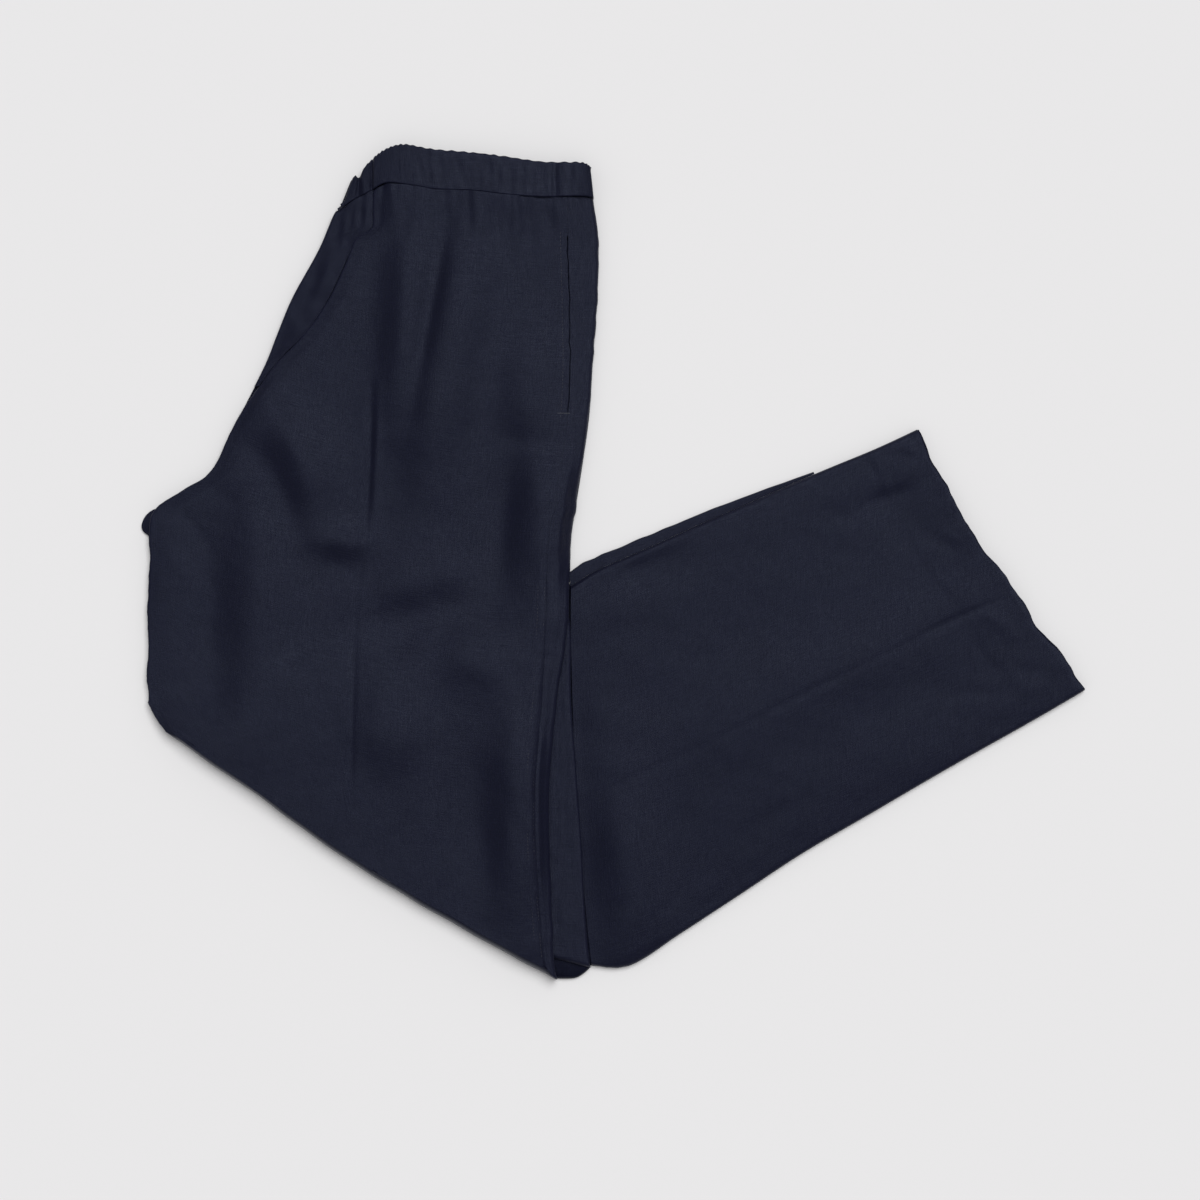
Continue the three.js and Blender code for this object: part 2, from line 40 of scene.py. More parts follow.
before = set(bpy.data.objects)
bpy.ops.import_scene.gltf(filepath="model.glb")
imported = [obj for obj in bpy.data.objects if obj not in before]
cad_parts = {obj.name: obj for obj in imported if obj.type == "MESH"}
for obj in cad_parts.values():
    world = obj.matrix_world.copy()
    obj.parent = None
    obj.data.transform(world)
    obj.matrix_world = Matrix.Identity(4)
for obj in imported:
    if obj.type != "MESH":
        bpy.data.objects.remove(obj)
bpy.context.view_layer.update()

# A sheet has at least this width in metres, and this part of its whole cut
NARROWEST_SHEET = 0.0101
LEAST_AREA = 0.3

MM = 0.001
CENTRE = (0.75, -0.2)
SEED = 11
NOISE_CELLS = 64


def table(columns, *rows):
    """A table with named columns, each an array with one value a row."""
    return {name: np.array(values, float) for name, values in zip(columns.split(), zip(*rows))}


# Heights of the folded stack
THIGH_TOP = 9.0
KNEE_TOP = 16.5
SHIN_TOP = 8.0
BAND_TOP = 12.8
BAND_STEP = 2.2
WAIST_RISE = 2.2
HIP_DROP = 1.9
CORE_DROP = 3.9
LOWEST_RIM = 0.8
LOWEST_POINT = 0.05
EDGE_SETTLE = 0.12
EDGE_SETTLE_REACH = 22.0
EDGE_FADE = 9
SEAM_GAP = 0.12
BAND_FOOT_GAP = 0.05

# Rolled edges: how far in the roll starts, and how far it drops
EDGE_ROLL = (3.2, 3.2)
HIP_ROLL = (2.2, 1.2)
FRONT_ROLL = (2.0, 1.1)
TURNED_EDGE = (1.2, 0.9)
BAND_ROLL = (1.5, 1.3)
STRIP_ROLL = (2.4, 2.0)
KNEE_ROLL = (6.5, 4.5)
ROLL_ANGLES = np.radians([90, 76, 62, 48, 34, 20, 8])

# Where the lower legs lie under the thigh: their inseam edge
UNDER_LEG = {"x": -30, "y": -11, "slant": math.radians(19.2), "before": 24, "after": 34}

# Thigh and hip, a section a row
THIGH = table(
    "side_x side_y strip width slant hip bow",
    (-14, 261, 18, 158, 2, 25.8, 0),
    (-10, 232, 22, 176, 0, 23, 0),
    (-11, 192, 20, 193, 0, 26.5, 0),
    (-12.6, 165, 18, 209.4, 0, 19.8, 0),
    (-14.2, 144, 16, 229.8, -0.5, 7, 0),
    (-16.9, 106, 15, 254.1, -0.8, 0, 0),
    (-21.6, 72, 15, 266.4, -0.9, 0, 0),
    (-26.2, 41, 15, 285.8, 2, 0, 0),
    (-30, 13, 16, 303, 4.1, 0, 0),
    (-32, -45, 16, 305, 8.8, 0, 0),
    (-40, -99, 11, 303, 13.1, 0, 0),
    (-45, -157, 10.5, 307, 19.2, 0, 0),
    (-45, -214, 10.5, 319.5, 24.4, 0, 2),
    (-43, -257, 10, 332.5, 28.8, 0, 4),
    (-42, -283, 9, 342, 31.5, 0, 6),
    (-40.5, -301, 8.5, 334, 32.4, 0, 8),
)
KNEE_FOLD = 15
KNEE_RIM = 0.4
THIGH_MIDDLE = 158
FOLD_FLAT = {"place": 0.77, "reach": 0.16, "inward": 2.4}
CROTCH = 8
FRONT_JOG = {"x": -172.7, "y": 237, "reach": 5, "blend": 34}
HIP_END = 4.4

# Lower leg, a section a row, from the thigh's edge to the hem
SHIN = table(
    "in_x in_y width slant bow peek",
    (-30, -17, 274, 86.9, -4, 9),
    (-22, -12, 281.4, 83.1, -2, 9.5),
    (-8, -4, 270.5, 78, 0, 8),
    (20, 8, 258, 73.7, 0, 7.7),
    (55, 24, 247.3, 69.8, 0, 6.3),
    (94, 41, 239.6, 64.9, 0, 4.6),
    (146, 64, 232.8, 63.2, 0, 1),
    (189, 81.8, 227, 60.2, -2, 0),
    (219, 95.6, 224, 57.2, -5, 0),
)
HEM = 8
PEEK = (-0.15, 6)
HEM_TURN = 40
HEM_RIDGE = 0.45
# How far the hem's edge stands out from a straight line, along its length
HEM_WAVE = table(
    "distance out",
    (0, 0),
    (40, -0.4),
    (81, -2.6),
    (108, 0),
    (137, 2.3),
    (160, 0),
    (185, 1.2),
    (206, 2.2),
    (224, 1),
)

# Right leg's back panel beside the knee, a section a row
KNEE_STRIP = table(
    "y start end",
    (-40, -36, -31),
    (-55, -38, -29.9),
    (-96, -44, -29.9),
    (-137, -47, -27),
    (-203, -48, -22.2),
    (-239, -47, -20.5),
    (-271, -44.5, -17.8),
    (-285, -43.5, -16),
)
STRIP_END = {"tilt": 7, "from": 236, "roll": 3.2, "drop": 2.8}
STRIP_BELOW = 4.7

# Right leg's back crotch point
CROTCH_POINT = table(
    "y outer inner",
    (46, -316.5, -312),
    (40.5, -325.8, -318),
    (38, -332.6, -323),
    (33.5, -337.8, -327),
    (27, -340.4, -329),
    (22.3, -338.9, -330),
    (17.8, -332.8, -329),
)

# Waistband, a section a row, from the right leg's end to the side
BAND = table(
    "foot_x foot_y height lean",
    (-198, 253, 24, -22),
    (-186, 261.5, 22, -13),
    (-173, 268, 23.5, -3),
    (-163, 273, 25, -2),
    (-149, 272, 29, 2),
    (-127, 268.5, 29.5, 8),
    (-101, 267.5, 28, 6),
    (-80, 265, 27.5, -2),
    (-52, 263, 25.5, -4),
    (-24, 263.5, 24.5, -2),
    (-13.5, 262.5, 22.5, 6),
)
BAND_END = 10
BAND_LENGTH = 190
GATHERS = 34
CENTRE_FRONT_X = -172
BAND_CREASE_X = -41.5
BAND_NOTCH = {"place": 0.93, "reach": 0.24, "depth": 5.2, "valley": 1.9}

# Side pocket: its facing's places, and its slit between two heights
POCKET = {"start": 1, "end": 5, "foot": 109, "head": 236, "slit": 0.9, "stitch": 4.5}
FACING = {"from": 9, "to": -8, "cuts": 12, "rows": 4, "below": 2.1}

# Rows of stitches: from one place to another, their points, and where they lie on the cloth
POCKET_STITCH = {"start": 0.86, "end": 5.02, "points": 160}
BAR_TACK = {"y": 107.4, "start": -39.5, "end": -31, "points": 24, "sunk": 0.15}
SIDE_STITCH = {"start": 8.6, "end": 14.2, "points": 300, "off_seam": (1.6, 6.4), "sunk": (0.15, 0)}
HEM_STITCH = {"start": 6, "end": 216, "points": 120, "to_hem": 37.5, "section": 46.0, "above": 0.22}

# Pitch, length and thread of the tack's stitches, and pitch and length of the hem's, in metres
BAR_TACK_SIZES = (0.0005, 0.0007, 0.0007)
HEM_STITCH_SIZES = (0.0075, 0.0011)

# Strips and points of cloth that stand out from under the panels
INSEAM = {"top": 3.6, "under": 1, "roll": (1.6, 1.6)}
CROTCH_RISE = {"foot": 2.0, "rise": 1.9, "cuts": (30, 12)}
KNEE_LAYERS = {"top": 5.4, "depth": 52.0, "roll": (3.5, 4.2), "cuts": 26, "spacing": 3}
THIN_CLOTH = {"facing": 1.0, "crotch": 1.2, "knee": 1.2, "hem": 1.0}
LOWER_HEM = {"start": 0.4, "inset": 0.6, "roll": (1.2, 0.5)}

# Edges that meet at more than this angle, in degrees, look sharp
SHARP_CLOTH = 55
SHARP_LAYERS = 60

# Distances between the rows and between the columns of the panels
SPACING = {
    "front": (2.2, 2.2),
    "back": (2.2, 2.0),
    "inseam": (3, 1.6),
    "hip": (2.6, 2.2),
    "shin": (2.8, 2.7),
    "knee": (2.0, 1.6),
    "hem": (2.4, 3.0),
}

# Soft folds: from one point to another, bent sideways, with a half width and a rise
SOFT_SIDE = 1.15
FOLDS = table(
    "from_x from_y to_x to_y bend spread rise",
    (-144, 264, -158, 92, 2, 11, 7.4),
    (-93, 264, -137, 24, -8, 15.5, 9.8),
    (-119, 250, -146, 104, 0, 5, -2.6),
    (-60, 172, -62, 84, 0, 14, 5.6),
    (-84, 266, -84, 224, 0, 4.5, -1.5),
    (-60, 266, -60, 221, 0, 4.5, -1.5),
    (-252, 122, -212, 18, 19, 12, 7.6),
    (-270, 90, -232, 8, 22, 8, -2.0),
    (-214, 22, -168, 12, -4, 9, 2.8),
    (-216, 2, -176, -6, 0, 8, -1.4),
    (-258, 90, -262, -130, 12, 15, 6.2),
    (-294, 30, -292, -92, 4, 10, -2.4),
    (-72, 84, -86, -38, -4, 9, -2.6),
    (-48, 92, -52, -34, 0, 15.5, 7.6),
    (-184, -56, -74, -32, 6, 12, -2.8),
    (-180, -22, -92, -6, 0, 13, 2.8),
    (-128, -58, -66, -82, -6, 13, 3.2),
    (-120, -92, -94, -256, 8, 13, -2.8),
    (-70, -78, -68, -272, 4, 13, 6.8),
    (-190, -118, -128, -126, 0, 24, 4.8),
    (-258, -97, -186, -62, 0, 11, 2.6),
    (-196, -120, -160, -190, 8, 14, -1.3),
    (-28, -60, -26, -150, 0, 8, -1.4),
    (-27, -130, -17, -300, 0, 10, -2.6),
    (8, -150, 14, -290, 0, 14, 5.2),
    (-20, -168, 288, -18, 2, 24, 3.8),
    (-8, -18, 66, 10, 0, 8, -2.2),
    (40, -212, 262, -86, 0, 24, 1.8),
    (150, -112, 262, -70, 0, 16, -1.2),
    (156, 33, 226, 55, 0, 6, -1.0),
    (232, 74, 274, -4, 0, 10, 1.3),
    (196, 58, 232, 0, 0, 12, -1.8),
)

# Finer creases of the same form: the pressed creases, and small ones at waist, crotch, hem and knee
CREASES = table(
    "from_x from_y to_x to_y bend spread rise",
    (-173, 128, -178, 18, 2, 1.9, -1.9),
    (-170, 128, -174, 18, 2, 2.4, 0.9),
    (-179, 18, -184, -24, 0, 1.6, -0.5),
    (-185, -27, -189, -200, 0, 1.7, -1.0),
    (-22, -175, 66, -132, 4, 1.6, -0.45),
    (60, -135, 216, -57, 3, 1.6, -0.55),
    (210, -60, 286, -25, 4, 1.8, -1.0),
    (-168, 262, -171, 240, 0, 2.6, -0.9),
    (-156, 266, -158, 246, 0, 3, 0.7),
    (-145, 267, -150, 228, 0, 3, -0.7),
    (-103, 264, -103, 236, 0, 3, -0.9),
    (-75, 262, -76, 214, 0, 3, -0.8),
    (-68, 262, -67, 230, 0, 2.6, 0.6),
    (-46, 261, -45, 234, 0, 2.6, -0.8),
    (-38, 260, -38, 240, 0, 2.4, 0.5),
    (-195, 251, -199, 226, 0, 1.9, -0.8),
    (-191.5, 253, -195, 228, 0, 1.7, 0.8),
    (-188, 255, -191, 228, 1, 1.7, -1.1),
    (-184, 257, -187, 232, 1, 1.7, 0.9),
    (-180.5, 259, -185, 236, 2, 1.6, -1.1),
    (-176.5, 261, -180, 240, 1, 1.7, 0.9),
    (-210, 214, -222, 182, -3, 2.4, -0.7),
    (-203, 222, -214, 190, 2, 2.2, 0.6),
    (-246, 128, -228, 92, -6, 3.4, -0.8),
    (-300, 56, -268, 40, 4, 4, -0.7),
    (-318, 40, -290, 6, 6, 4.5, -0.8),
    (-326, 12, -300, -20, 5, 5, 0.7),
    (-96, -62, -60, -96, 10, 5, -0.6),
    (-210, -96, -196, -150, 6, 6, -0.7),
    (-74, -170, -62, -226, 5, 4, -0.7),
    (156, 33.5, 174, 34, -3, 3, -0.6),
    (174, 34, 229, 56, 6, 3.5, -0.6),
    (186, 73, 192, 59, 0, 1.4, -0.6),
    (199, 70, 203, 56, 0, 1.4, -0.5),
    (204, 86, 222, 78, 0, 2.4, 0.7),
    (226, 20, 250, 6, 3, 3, -0.7),
    (262, -34, 288, -52, 3, 3.4, 0.8),
    (282, -76, 316, -84, 4, 3, -0.4),
    (236, -96, 300, -98, 6, 4, -0.4),
    (-22, -60, 34, -44, 6, 6, -0.6),
    (-18, -110, 30, -118, -5, 7, 0.7),
    (-16, -262, 20, -240, 6, 5, -0.8),
    (20, -268, 60, -222, -6, 5, -0.6),
    (96, -196, 138, -172, 5, 5, -0.6),
)


def smoothed(share):
    """A share from 0 to 1, eased at both ends."""
    return share * share * (3 - 2 * share)


def between(value, low, high):
    """0 below low, 1 above high and smooth from one to the other."""
    return smoothed(np.clip((value - low) / (high - low), 0, 1))


def nearness(distance, reach):
    """1 at no distance, and softly less on both sides."""
    return np.exp(-((distance / reach) ** 2))


def turned_down(distance, reach, drop):
    """How far a rounded edge has dropped, at a distance in from it."""
    return drop * (1 - np.sqrt(1 - (1 - np.minimum(1, distance / reach)) ** 2))


def last_place(rows):
    """Place of a table's last row."""
    return len(next(iter(rows.values()))) - 1


def sample(rows, place):
    """Every column of a table between its rows, on smooth curves through them."""
    place = np.asarray(place, float)
    last = last_place(rows)
    index = np.clip(np.floor(place).astype(int), 0, last - 1)
    share = place - index
    square, cube = share**2, share**3
    result = {}
    for name, values in rows.items():
        before, start = values[np.maximum(index - 1, 0)], values[index]
        end, after = values[index + 1], values[np.minimum(index + 2, last)]
        result[name] = (
            (2 * cube - 3 * square + 1) * start
            + (cube - 2 * square + share) * (end - before) / 2
            + (3 * square - 2 * cube) * end
            + (cube - square) * (after - start) / 2
        )
    return result


def soft_noise(x, y, size, seed):
    """Smooth uneven rise and fall between about -1 and 1, with bumps about size apart."""
    turns = np.random.default_rng(seed).uniform(0, 2 * math.pi, (NOISE_CELLS, NOISE_CELLS))
    u, v = np.broadcast_arrays(np.asarray(x, float) / size, np.asarray(y, float) / size)
    i, j = np.floor(u).astype(int), np.floor(v).astype(int)
    u, v = u - i, v - j

    def corner(right, up):
        angle = turns[(i + right) % NOISE_CELLS, (j + up) % NOISE_CELLS]
        return np.cos(angle) * (u - right) + np.sin(angle) * (v - up)

    def ease(share):
        return share**3 * (share * (6 * share - 15) + 10)

    low = corner(0, 0) + (corner(1, 0) - corner(0, 0)) * ease(u)
    high = corner(0, 1) + (corner(1, 1) - corner(0, 1)) * ease(u)
    return 1.5 * (low + (high - low) * ease(v))


def foot_at(x):
    """Height on the page of the waistband's foot."""
    return np.interp(x, BAND["foot_x"], BAND["foot_y"])


def thigh_point(place, distance=0):
    """Point of a thigh section, measured from the side edge towards the front."""
    row = sample(THIGH, place)
    share = np.clip(distance / row["width"], 0, 1)
    sag = 4 * row["bow"] * share * (1 - share)
    slant = np.radians(row["slant"])
    x = row["side_x"] - np.cos(slant) * distance - np.sin(slant) * sag
    y = row["side_y"] + np.sin(slant) * distance - np.cos(slant) * sag
    waist = THIGH["side_y"][0] + (THIGH["side_x"][0] - x) * math.tan(math.radians(THIGH["slant"][0]))
    follow = np.maximum(0, 1 - place) ** 2
    return x, y + (foot_at(x) - BAND_FOOT_GAP - waist) * follow


def shin_point(place, distance=0):
    """Point of a lower leg section, measured from the inseam. The hem's edge wavers."""
    row = sample(SHIN, place)
    share = np.clip(distance / row["width"], 0, 1)
    near_hem = np.clip(place - HEM + 1, 0, 1) ** 3
    waver = 2.2 * soft_noise(distance, 7.7, 29, SEED) + 0.7 * soft_noise(distance, 3.1, 9, SEED + 1)
    waver = waver + np.interp(distance, HEM_WAVE["distance"], HEM_WAVE["out"])
    sag = 4 * row["bow"] * share * (1 - share) + waver * near_hem
    slant = np.radians(row["slant"])
    x = row["in_x"] + np.cos(slant) * distance + np.sin(slant) * sag
    y = row["in_y"] - np.sin(slant) * distance + np.cos(slant) * sag
    return x, y


def band_point(place, share):
    """Point of the waistband, measured up from its foot as a share of its height."""
    row = sample(BAND, place)
    lean = np.radians(row["lean"])
    x = row["foot_x"] - np.sin(lean) * row["height"] * share
    return x, row["foot_y"] + np.cos(lean) * row["height"] * share


def relief(rows, x, y):
    """Rise of all the folds of a table at a point. A ridge is softer on its left, a valley on its right."""
    total = np.zeros(np.broadcast(x, y).shape)
    for from_x, from_y, to_x, to_y, bend, spread, rise in zip(*rows.values()):
        length = math.hypot(to_x - from_x, to_y - from_y)
        along = ((to_x - from_x) / length, (to_y - from_y) / length)
        reach = ((x - from_x) * along[0] + (y - from_y) * along[1]) / length
        inside = np.clip(reach, 0, 1)
        side = (y - from_y) * along[0] - (x - from_x) * along[1]
        offset = side - bend * 2 * inside * (1 - inside)
        past = (reach - inside) * length
        fade = 0.3 + 0.7 * between(np.minimum(inside, 1 - inside), 0, 0.4)
        wide = np.where(offset * rise > 0, SOFT_SIDE * spread, spread)
        total += rise * fade * np.exp(-((offset / wide) ** 2 + (past / spread) ** 2) / 2)
    return total


def thigh_height(x, y):
    """Height of the thigh's top layer without its folds."""
    past = (x - UNDER_LEG["x"]) * math.sin(UNDER_LEG["slant"])
    past = past - (y - UNDER_LEG["y"]) * math.cos(UNDER_LEG["slant"])
    climb = between(past, -UNDER_LEG["before"], UNDER_LEG["after"])
    return THIGH_TOP + (KNEE_TOP - THIGH_TOP) * climb + WAIST_RISE * between(y, 225, 268)


def settled(gap):
    """The stack settles a little towards its edges."""
    return 1 - EDGE_SETTLE * (1 - between(gap, 0, EDGE_SETTLE_REACH))


def cloth_unevenness(x, y):
    """Low swells and small wrinkles that cloth keeps after pressing."""
    swell = 0.5 * soft_noise(x, y, 70, SEED + 2) + 0.35 * soft_noise(x, y, 31, SEED + 3)
    return swell + 0.13 * soft_noise(x, y, 12, SEED + 4) + 0.05 * soft_noise(x, y, 5.2, SEED + 5)


def waist_gathers(x, y):
    """Gathers that fan down from the waistband's foot and die out."""
    down = np.maximum(0, foot_at(x) - y)
    wave = soft_noise(x, down * 0.12, 5.6, SEED + 6) + 0.7 * soft_noise(x, down * 0.1, 9.5, SEED + 7)
    return 0.75 * wave * np.exp(-down / 13)


def seam_pucker(off_seam, run):
    """The valley of a seam, with small puckers beside it."""
    pucker = 0.3 * soft_noise(run, off_seam * 0.25, 6.0, SEED + 8) * nearness(off_seam, 7)
    streak = 0.3 * soft_noise(off_seam, run * 0.1, 2.6, SEED + 9) * nearness(off_seam - 3, 7)
    return pucker + streak - 0.5 * nearness(off_seam, 1.3) + 0.35 * nearness(off_seam - 4, 2.4)


def rolled(roll):
    """Distances from an edge and drops of the turns of its roll."""
    if roll is None:
        return np.zeros(1), np.zeros(1)
    return roll[0] * (1 - np.sin(ROLL_ANGLES)), roll[1] * (1 - np.cos(ROLL_ANGLES))


def across(width, spacing, start_roll=None, end_roll=None):
    """Distances across each row of a panel, and the drops at its rolled edges."""
    width = np.asarray(width, float)
    start, start_drop = rolled(start_roll)
    end, end_drop = rolled(end_roll)
    low = start[-1] if start_roll else 0.0
    high = width - (end[-1] if end_roll else 0.0)
    cells = max(2, int(np.ceil((width.max() - low) / spacing)))
    shares = np.linspace(0, 1, cells + 1)[1:-1]
    inner = low + (high - low) * shares
    ones = np.ones_like(width)
    distance = np.hstack([ones * start, inner, (width - end)[:, ::-1]])
    drop = np.hstack([ones * start_drop, np.zeros_like(inner), (ones * end_drop)[:, ::-1]])
    return distance, drop


def places_along(point, start, end, step):
    """Places of a table, close enough together that rows are about step apart."""
    stops = np.unique(np.concatenate([[start, end], np.arange(math.ceil(start), math.floor(end) + 1)]))
    places = [start]
    for low, high in zip(stops[:-1], stops[1:]):
        (x0, y0), (x1, y1) = point(low), point(high)
        cells = max(1, math.ceil(math.hypot(x1 - x0, y1 - y0) / step))
        places.extend(np.linspace(low, high, cells + 1)[1:])
    return np.array(places)[:, None]


def run_lengths(x, y):
    """Length along each column of a grid, from its first row."""
    steps = np.hypot(np.diff(x, axis=0), np.diff(y, axis=0))
    return np.vstack([np.zeros((1, x.shape[1])), np.cumsum(steps, axis=0)])


def stacked(*parts):
    """Arrays side by side, as the coordinates of points."""
    return np.stack(np.broadcast_arrays(*parts), axis=-1)


def creases(x, y):
    """Rise of all the folds, creases and unevenness of the legs' cloth."""
    return relief(FOLDS, x, y) + relief(CREASES, x, y) + cloth_unevenness(x, y)


def thigh_cloth(x, y, inside, gap):
    """Height of the thigh's cloth. The stack settles at its edges, and creases fade at the cloth's own."""
    fine = creases(x, y) + waist_gathers(x, y)
    return thigh_height(x, y) * settled(inside) + fine * between(gap, 0, EDGE_FADE)


def shin_cloth(x, y, gap):
    """Height of the lower leg's cloth, from the distance to its edge."""
    return SHIN_TOP * settled(gap) + creases(x, y) * between(gap, 0, EDGE_FADE)


def grid_normals(grid):
    """Upward normals of a grid of points."""
    along = np.gradient(grid, axis=0)
    over = np.gradient(grid, axis=1)
    normals = np.cross(over, along)
    normals /= np.linalg.norm(normals, axis=2, keepdims=True)
    return normals * (1 if normals[..., 2].sum() > 0 else -1)


def inside_out(points, quads):
    """Whether four-sided faces of a closed form turn their outer sides inward."""
    corner = points[quads]
    lean = np.cross(corner[:, 2] - corner[:, 0], corner[:, 3] - corner[:, 1])
    return (corner.mean(axis=1) * lean).sum() < 0


def placed(name, data):
    """A new object in the scene."""
    made = bpy.data.objects.new(name, data)
    bpy.context.scene.collection.objects.link(made)
    return made


def mesh_piece(name, points, faces, weave, edge_wear_and_highlight, material, sharp):
    """A smooth object from points in millimetres, with the weave's own map and, at each point, how much edge
    wear and painted edge highlight lighten it.
    """
    mesh = bpy.data.meshes.new(name)
    mesh.from_pydata((points * MM).tolist(), [], faces)
    mesh.materials.append(material)
    layer = mesh.uv_layers.new(name="weave")
    layer.data.foreach_set("uv", (weave[np.concatenate(faces)] * MM).astype(np.float32).ravel())
    wear_and_highlight = mesh.attributes.new("edge_wear_and_highlight", "FLOAT", "POINT")
    wear_and_highlight.data.foreach_set("value", edge_wear_and_highlight.astype(np.float32))
    mesh.polygons.foreach_set("use_smooth", np.ones(len(faces), bool))
    mesh.set_sharp_from_angle(angle=math.radians(sharp))
    mesh.update()
    return placed(name, mesh)


def cloth_wall(name, grid, weave, thickness, material, edge_wear_and_highlight):
    """A closed wall of cloth from a grid of its outer points, in millimetres."""
    rows, columns = grid.shape[:2]
    size = rows * columns
    inner = grid - grid_normals(grid) * thickness
    points = np.concatenate([grid.reshape(-1, 3), inner.reshape(-1, 3)])
    points[:, 2] = np.maximum(points[:, 2], LOWEST_POINT)
    index = np.arange(size).reshape(rows, columns)
    outer = stacked(index[:-1, :-1], index[:-1, 1:], index[1:, 1:], index[1:, :-1]).reshape(-1, 4)
    rim = np.concatenate([index[0, :-1], index[:-1, -1], index[-1, :0:-1], index[:0:-1, 0]])
    ahead = np.roll(rim, -1)
    faces = np.concatenate([outer, outer[:, ::-1] + size, stacked(ahead, rim, rim + size, ahead + size)])
    if inside_out(points, faces):
        faces = faces[:, ::-1]
    points[:, :2] += CENTRE
    amount = np.tile(np.broadcast_to(edge_wear_and_highlight, (rows, columns)).reshape(-1), 2)
    weave = np.tile(weave.reshape(-1, 2), (2, 1))
    return mesh_piece(name, points, faces.tolist(), weave, amount, material, SHARP_CLOTH)


def dress(piece, slot, *nodes):
    """Fixes a finished piece to the trousers."""
    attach(piece, "root")
    if nodes:
        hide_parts(*nodes)


def plan_area(grid):
    """Area of a grid of points as cut, in square metres."""
    first = grid[1:, 1:] - grid[:-1, :-1]
    second = grid[1:, :-1] - grid[:-1, 1:]
    return float(np.linalg.norm(np.cross(first, second), axis=2).sum() / 2 * MM * MM)


def declare_sheet(grid):
    """Works out the cut length, width and area of a piece from its own grid, and does nothing with them."""
    rows = np.linalg.norm(np.diff(grid, axis=1), axis=2).sum(axis=1).max()
    columns = np.linalg.norm(np.diff(grid, axis=0), axis=2).sum(axis=0).max()
    flat = tuple(max(float(side) * MM, NARROWEST_SHEET) for side in (rows, columns))
    whole = flat[0] * flat[1]
    area = min(whole, max(plan_area(grid), LEAST_AREA * whole))


def lay(name, grid, weave, thickness, material, stands_for, edge_wear_and_highlight=0.0, slot="cloth"):
    """Makes a piece of cloth that rests on the hidden layers, in place of a node."""
    piece = cloth_wall(name, grid, weave, thickness, material, edge_wear_and_highlight)
    declare_sheet(grid)
    dress(piece, slot, stands_for)


# Materials: scales of the noises on the weave's map, and the darkest and lightest tone with its tint
SLUB_SCALES = ((90, 1500, 1), (1500, 90, 1))
SPECK_SCALE = (780, 780, 1)
CLOUD_SCALE = (24, 24, 1)
CLOTH_TONES = ((0.55, (1, 1, 1)), (1.5, (1.04, 0.99, 1.02)))


def set_inputs(made, values):
    for name, value in values.items():
        made.inputs[name].default_value = value


def new_material(name):
    """A new material, its node tree and its shader."""
    material = bpy.data.materials.new(name)
    material.use_nodes = True
    return material, material.node_tree, material.node_tree.nodes["Principled BSDF"]


def node(tree, kind, **settings):
    made = tree.nodes.new(kind)
    for name, value in settings.items():
        if name in made.inputs:
            made.inputs[name].default_value = value
        else:
            setattr(made, name, value)
    return made


def link(tree, source, target):
    tree.links.new(source, target)


def scaled_map(tree, source, scale):
    """The weave's map, stretched by its own scale each way."""
    mapping = node(tree, "ShaderNodeMapping", Scale=scale)
    link(tree, source, mapping.inputs["Vector"])
    return mapping.outputs["Vector"]


def level(tree, source, low, high, to_low, to_high):
    """A value brought from one range to another."""
    made = node(tree, "ShaderNodeMapRange")
    set_inputs(made, {"From Min": low, "From Max": high, "To Min": to_low, "To Max": to_high})
    link(tree, source, made.inputs["Value"])
    return made.outputs["Result"]


def combine(tree, operation, first, second):
    made = node(tree, "ShaderNodeMath", operation=operation)
    for socket, value in zip(made.inputs, (first, second)):
        if isinstance(value, (int, float)):
            socket.default_value = value
        else:
            link(tree, value, socket)
    return made.outputs["Value"]


def noise(tree, source, scale, **settings):
    """Noise on the weave's map, stretched by its own scale each way."""
    made = node(tree, "ShaderNodeTexNoise", Scale=1.0, **settings)
    link(tree, scaled_map(tree, source, scale), made.inputs["Vector"])
    return made.outputs["Fac"]


def wave_bands(tree, source, direction, scale):
    """Rounded bands across one direction of the weave's map, one for each thread."""
    made = node(tree, "ShaderNodeTexWave", wave_type="BANDS", bands_direction=direction)
    set_inputs(made, {"Scale": scale, "Distortion": 0.5, "Detail Scale": 3.0})
    link(tree, scaled_map(tree, source, (2 * math.pi, 2 * math.pi, 1)), made.inputs["Vector"])
    return made.outputs["Fac"]


def cloth_tone(tree, weave, slubs, edge_wear_and_highlight):
    """How light the cloth is at each point: its slubs, specks, soft clouds, and its edges, lightened partly
    by wear and partly by painted highlight.
    """
    specks = noise(tree, weave, SPECK_SCALE, Detail=3.0, Roughness=0.7)
    cloud = noise(tree, weave, CLOUD_SCALE, Detail=3.0)
    wear_and_highlight = node(tree, "ShaderNodeAttribute", attribute_name="edge_wear_and_highlight").outputs["Fac"]
    tone = level(tree, slubs, 0.6, 1.4, -0.22, 0.22)
    tone = combine(tree, "ADD", tone, level(tree, specks, 0.35, 0.68, -0.24, 0.3))
    tone = combine(tree, "ADD", tone, level(tree, cloud, 0.3, 0.7, -0.05, 0.05))
    # Painted highlight: edges and seams are made lighter, partly for real wear and partly as painted sheen
    # where light catches them.
    tone = combine(tree, "ADD", tone, combine(tree, "MULTIPLY", wear_and_highlight, edge_wear_and_highlight))
    return level(tree, tone, -0.5, 0.5, 0, 1)


def cloth_relief(tree, weave, slubs, settings):
    """The weave's own relief: its threads both ways and its slubs."""
    scale = 1 / settings.thread_pitch / 20
    threads = combine(tree, "ADD", *(wave_bands(tree, weave, way, scale) for way in "XY"))
    height = combine(tree, "ADD", combine(tree, "MULTIPLY", threads, 0.35), slubs)
    bump = node(tree, "ShaderNodeBump", Strength=settings.relief, Distance=0.00022)
    link(tree, height, bump.inputs["Height"])
    return bump.outputs["Normal"]


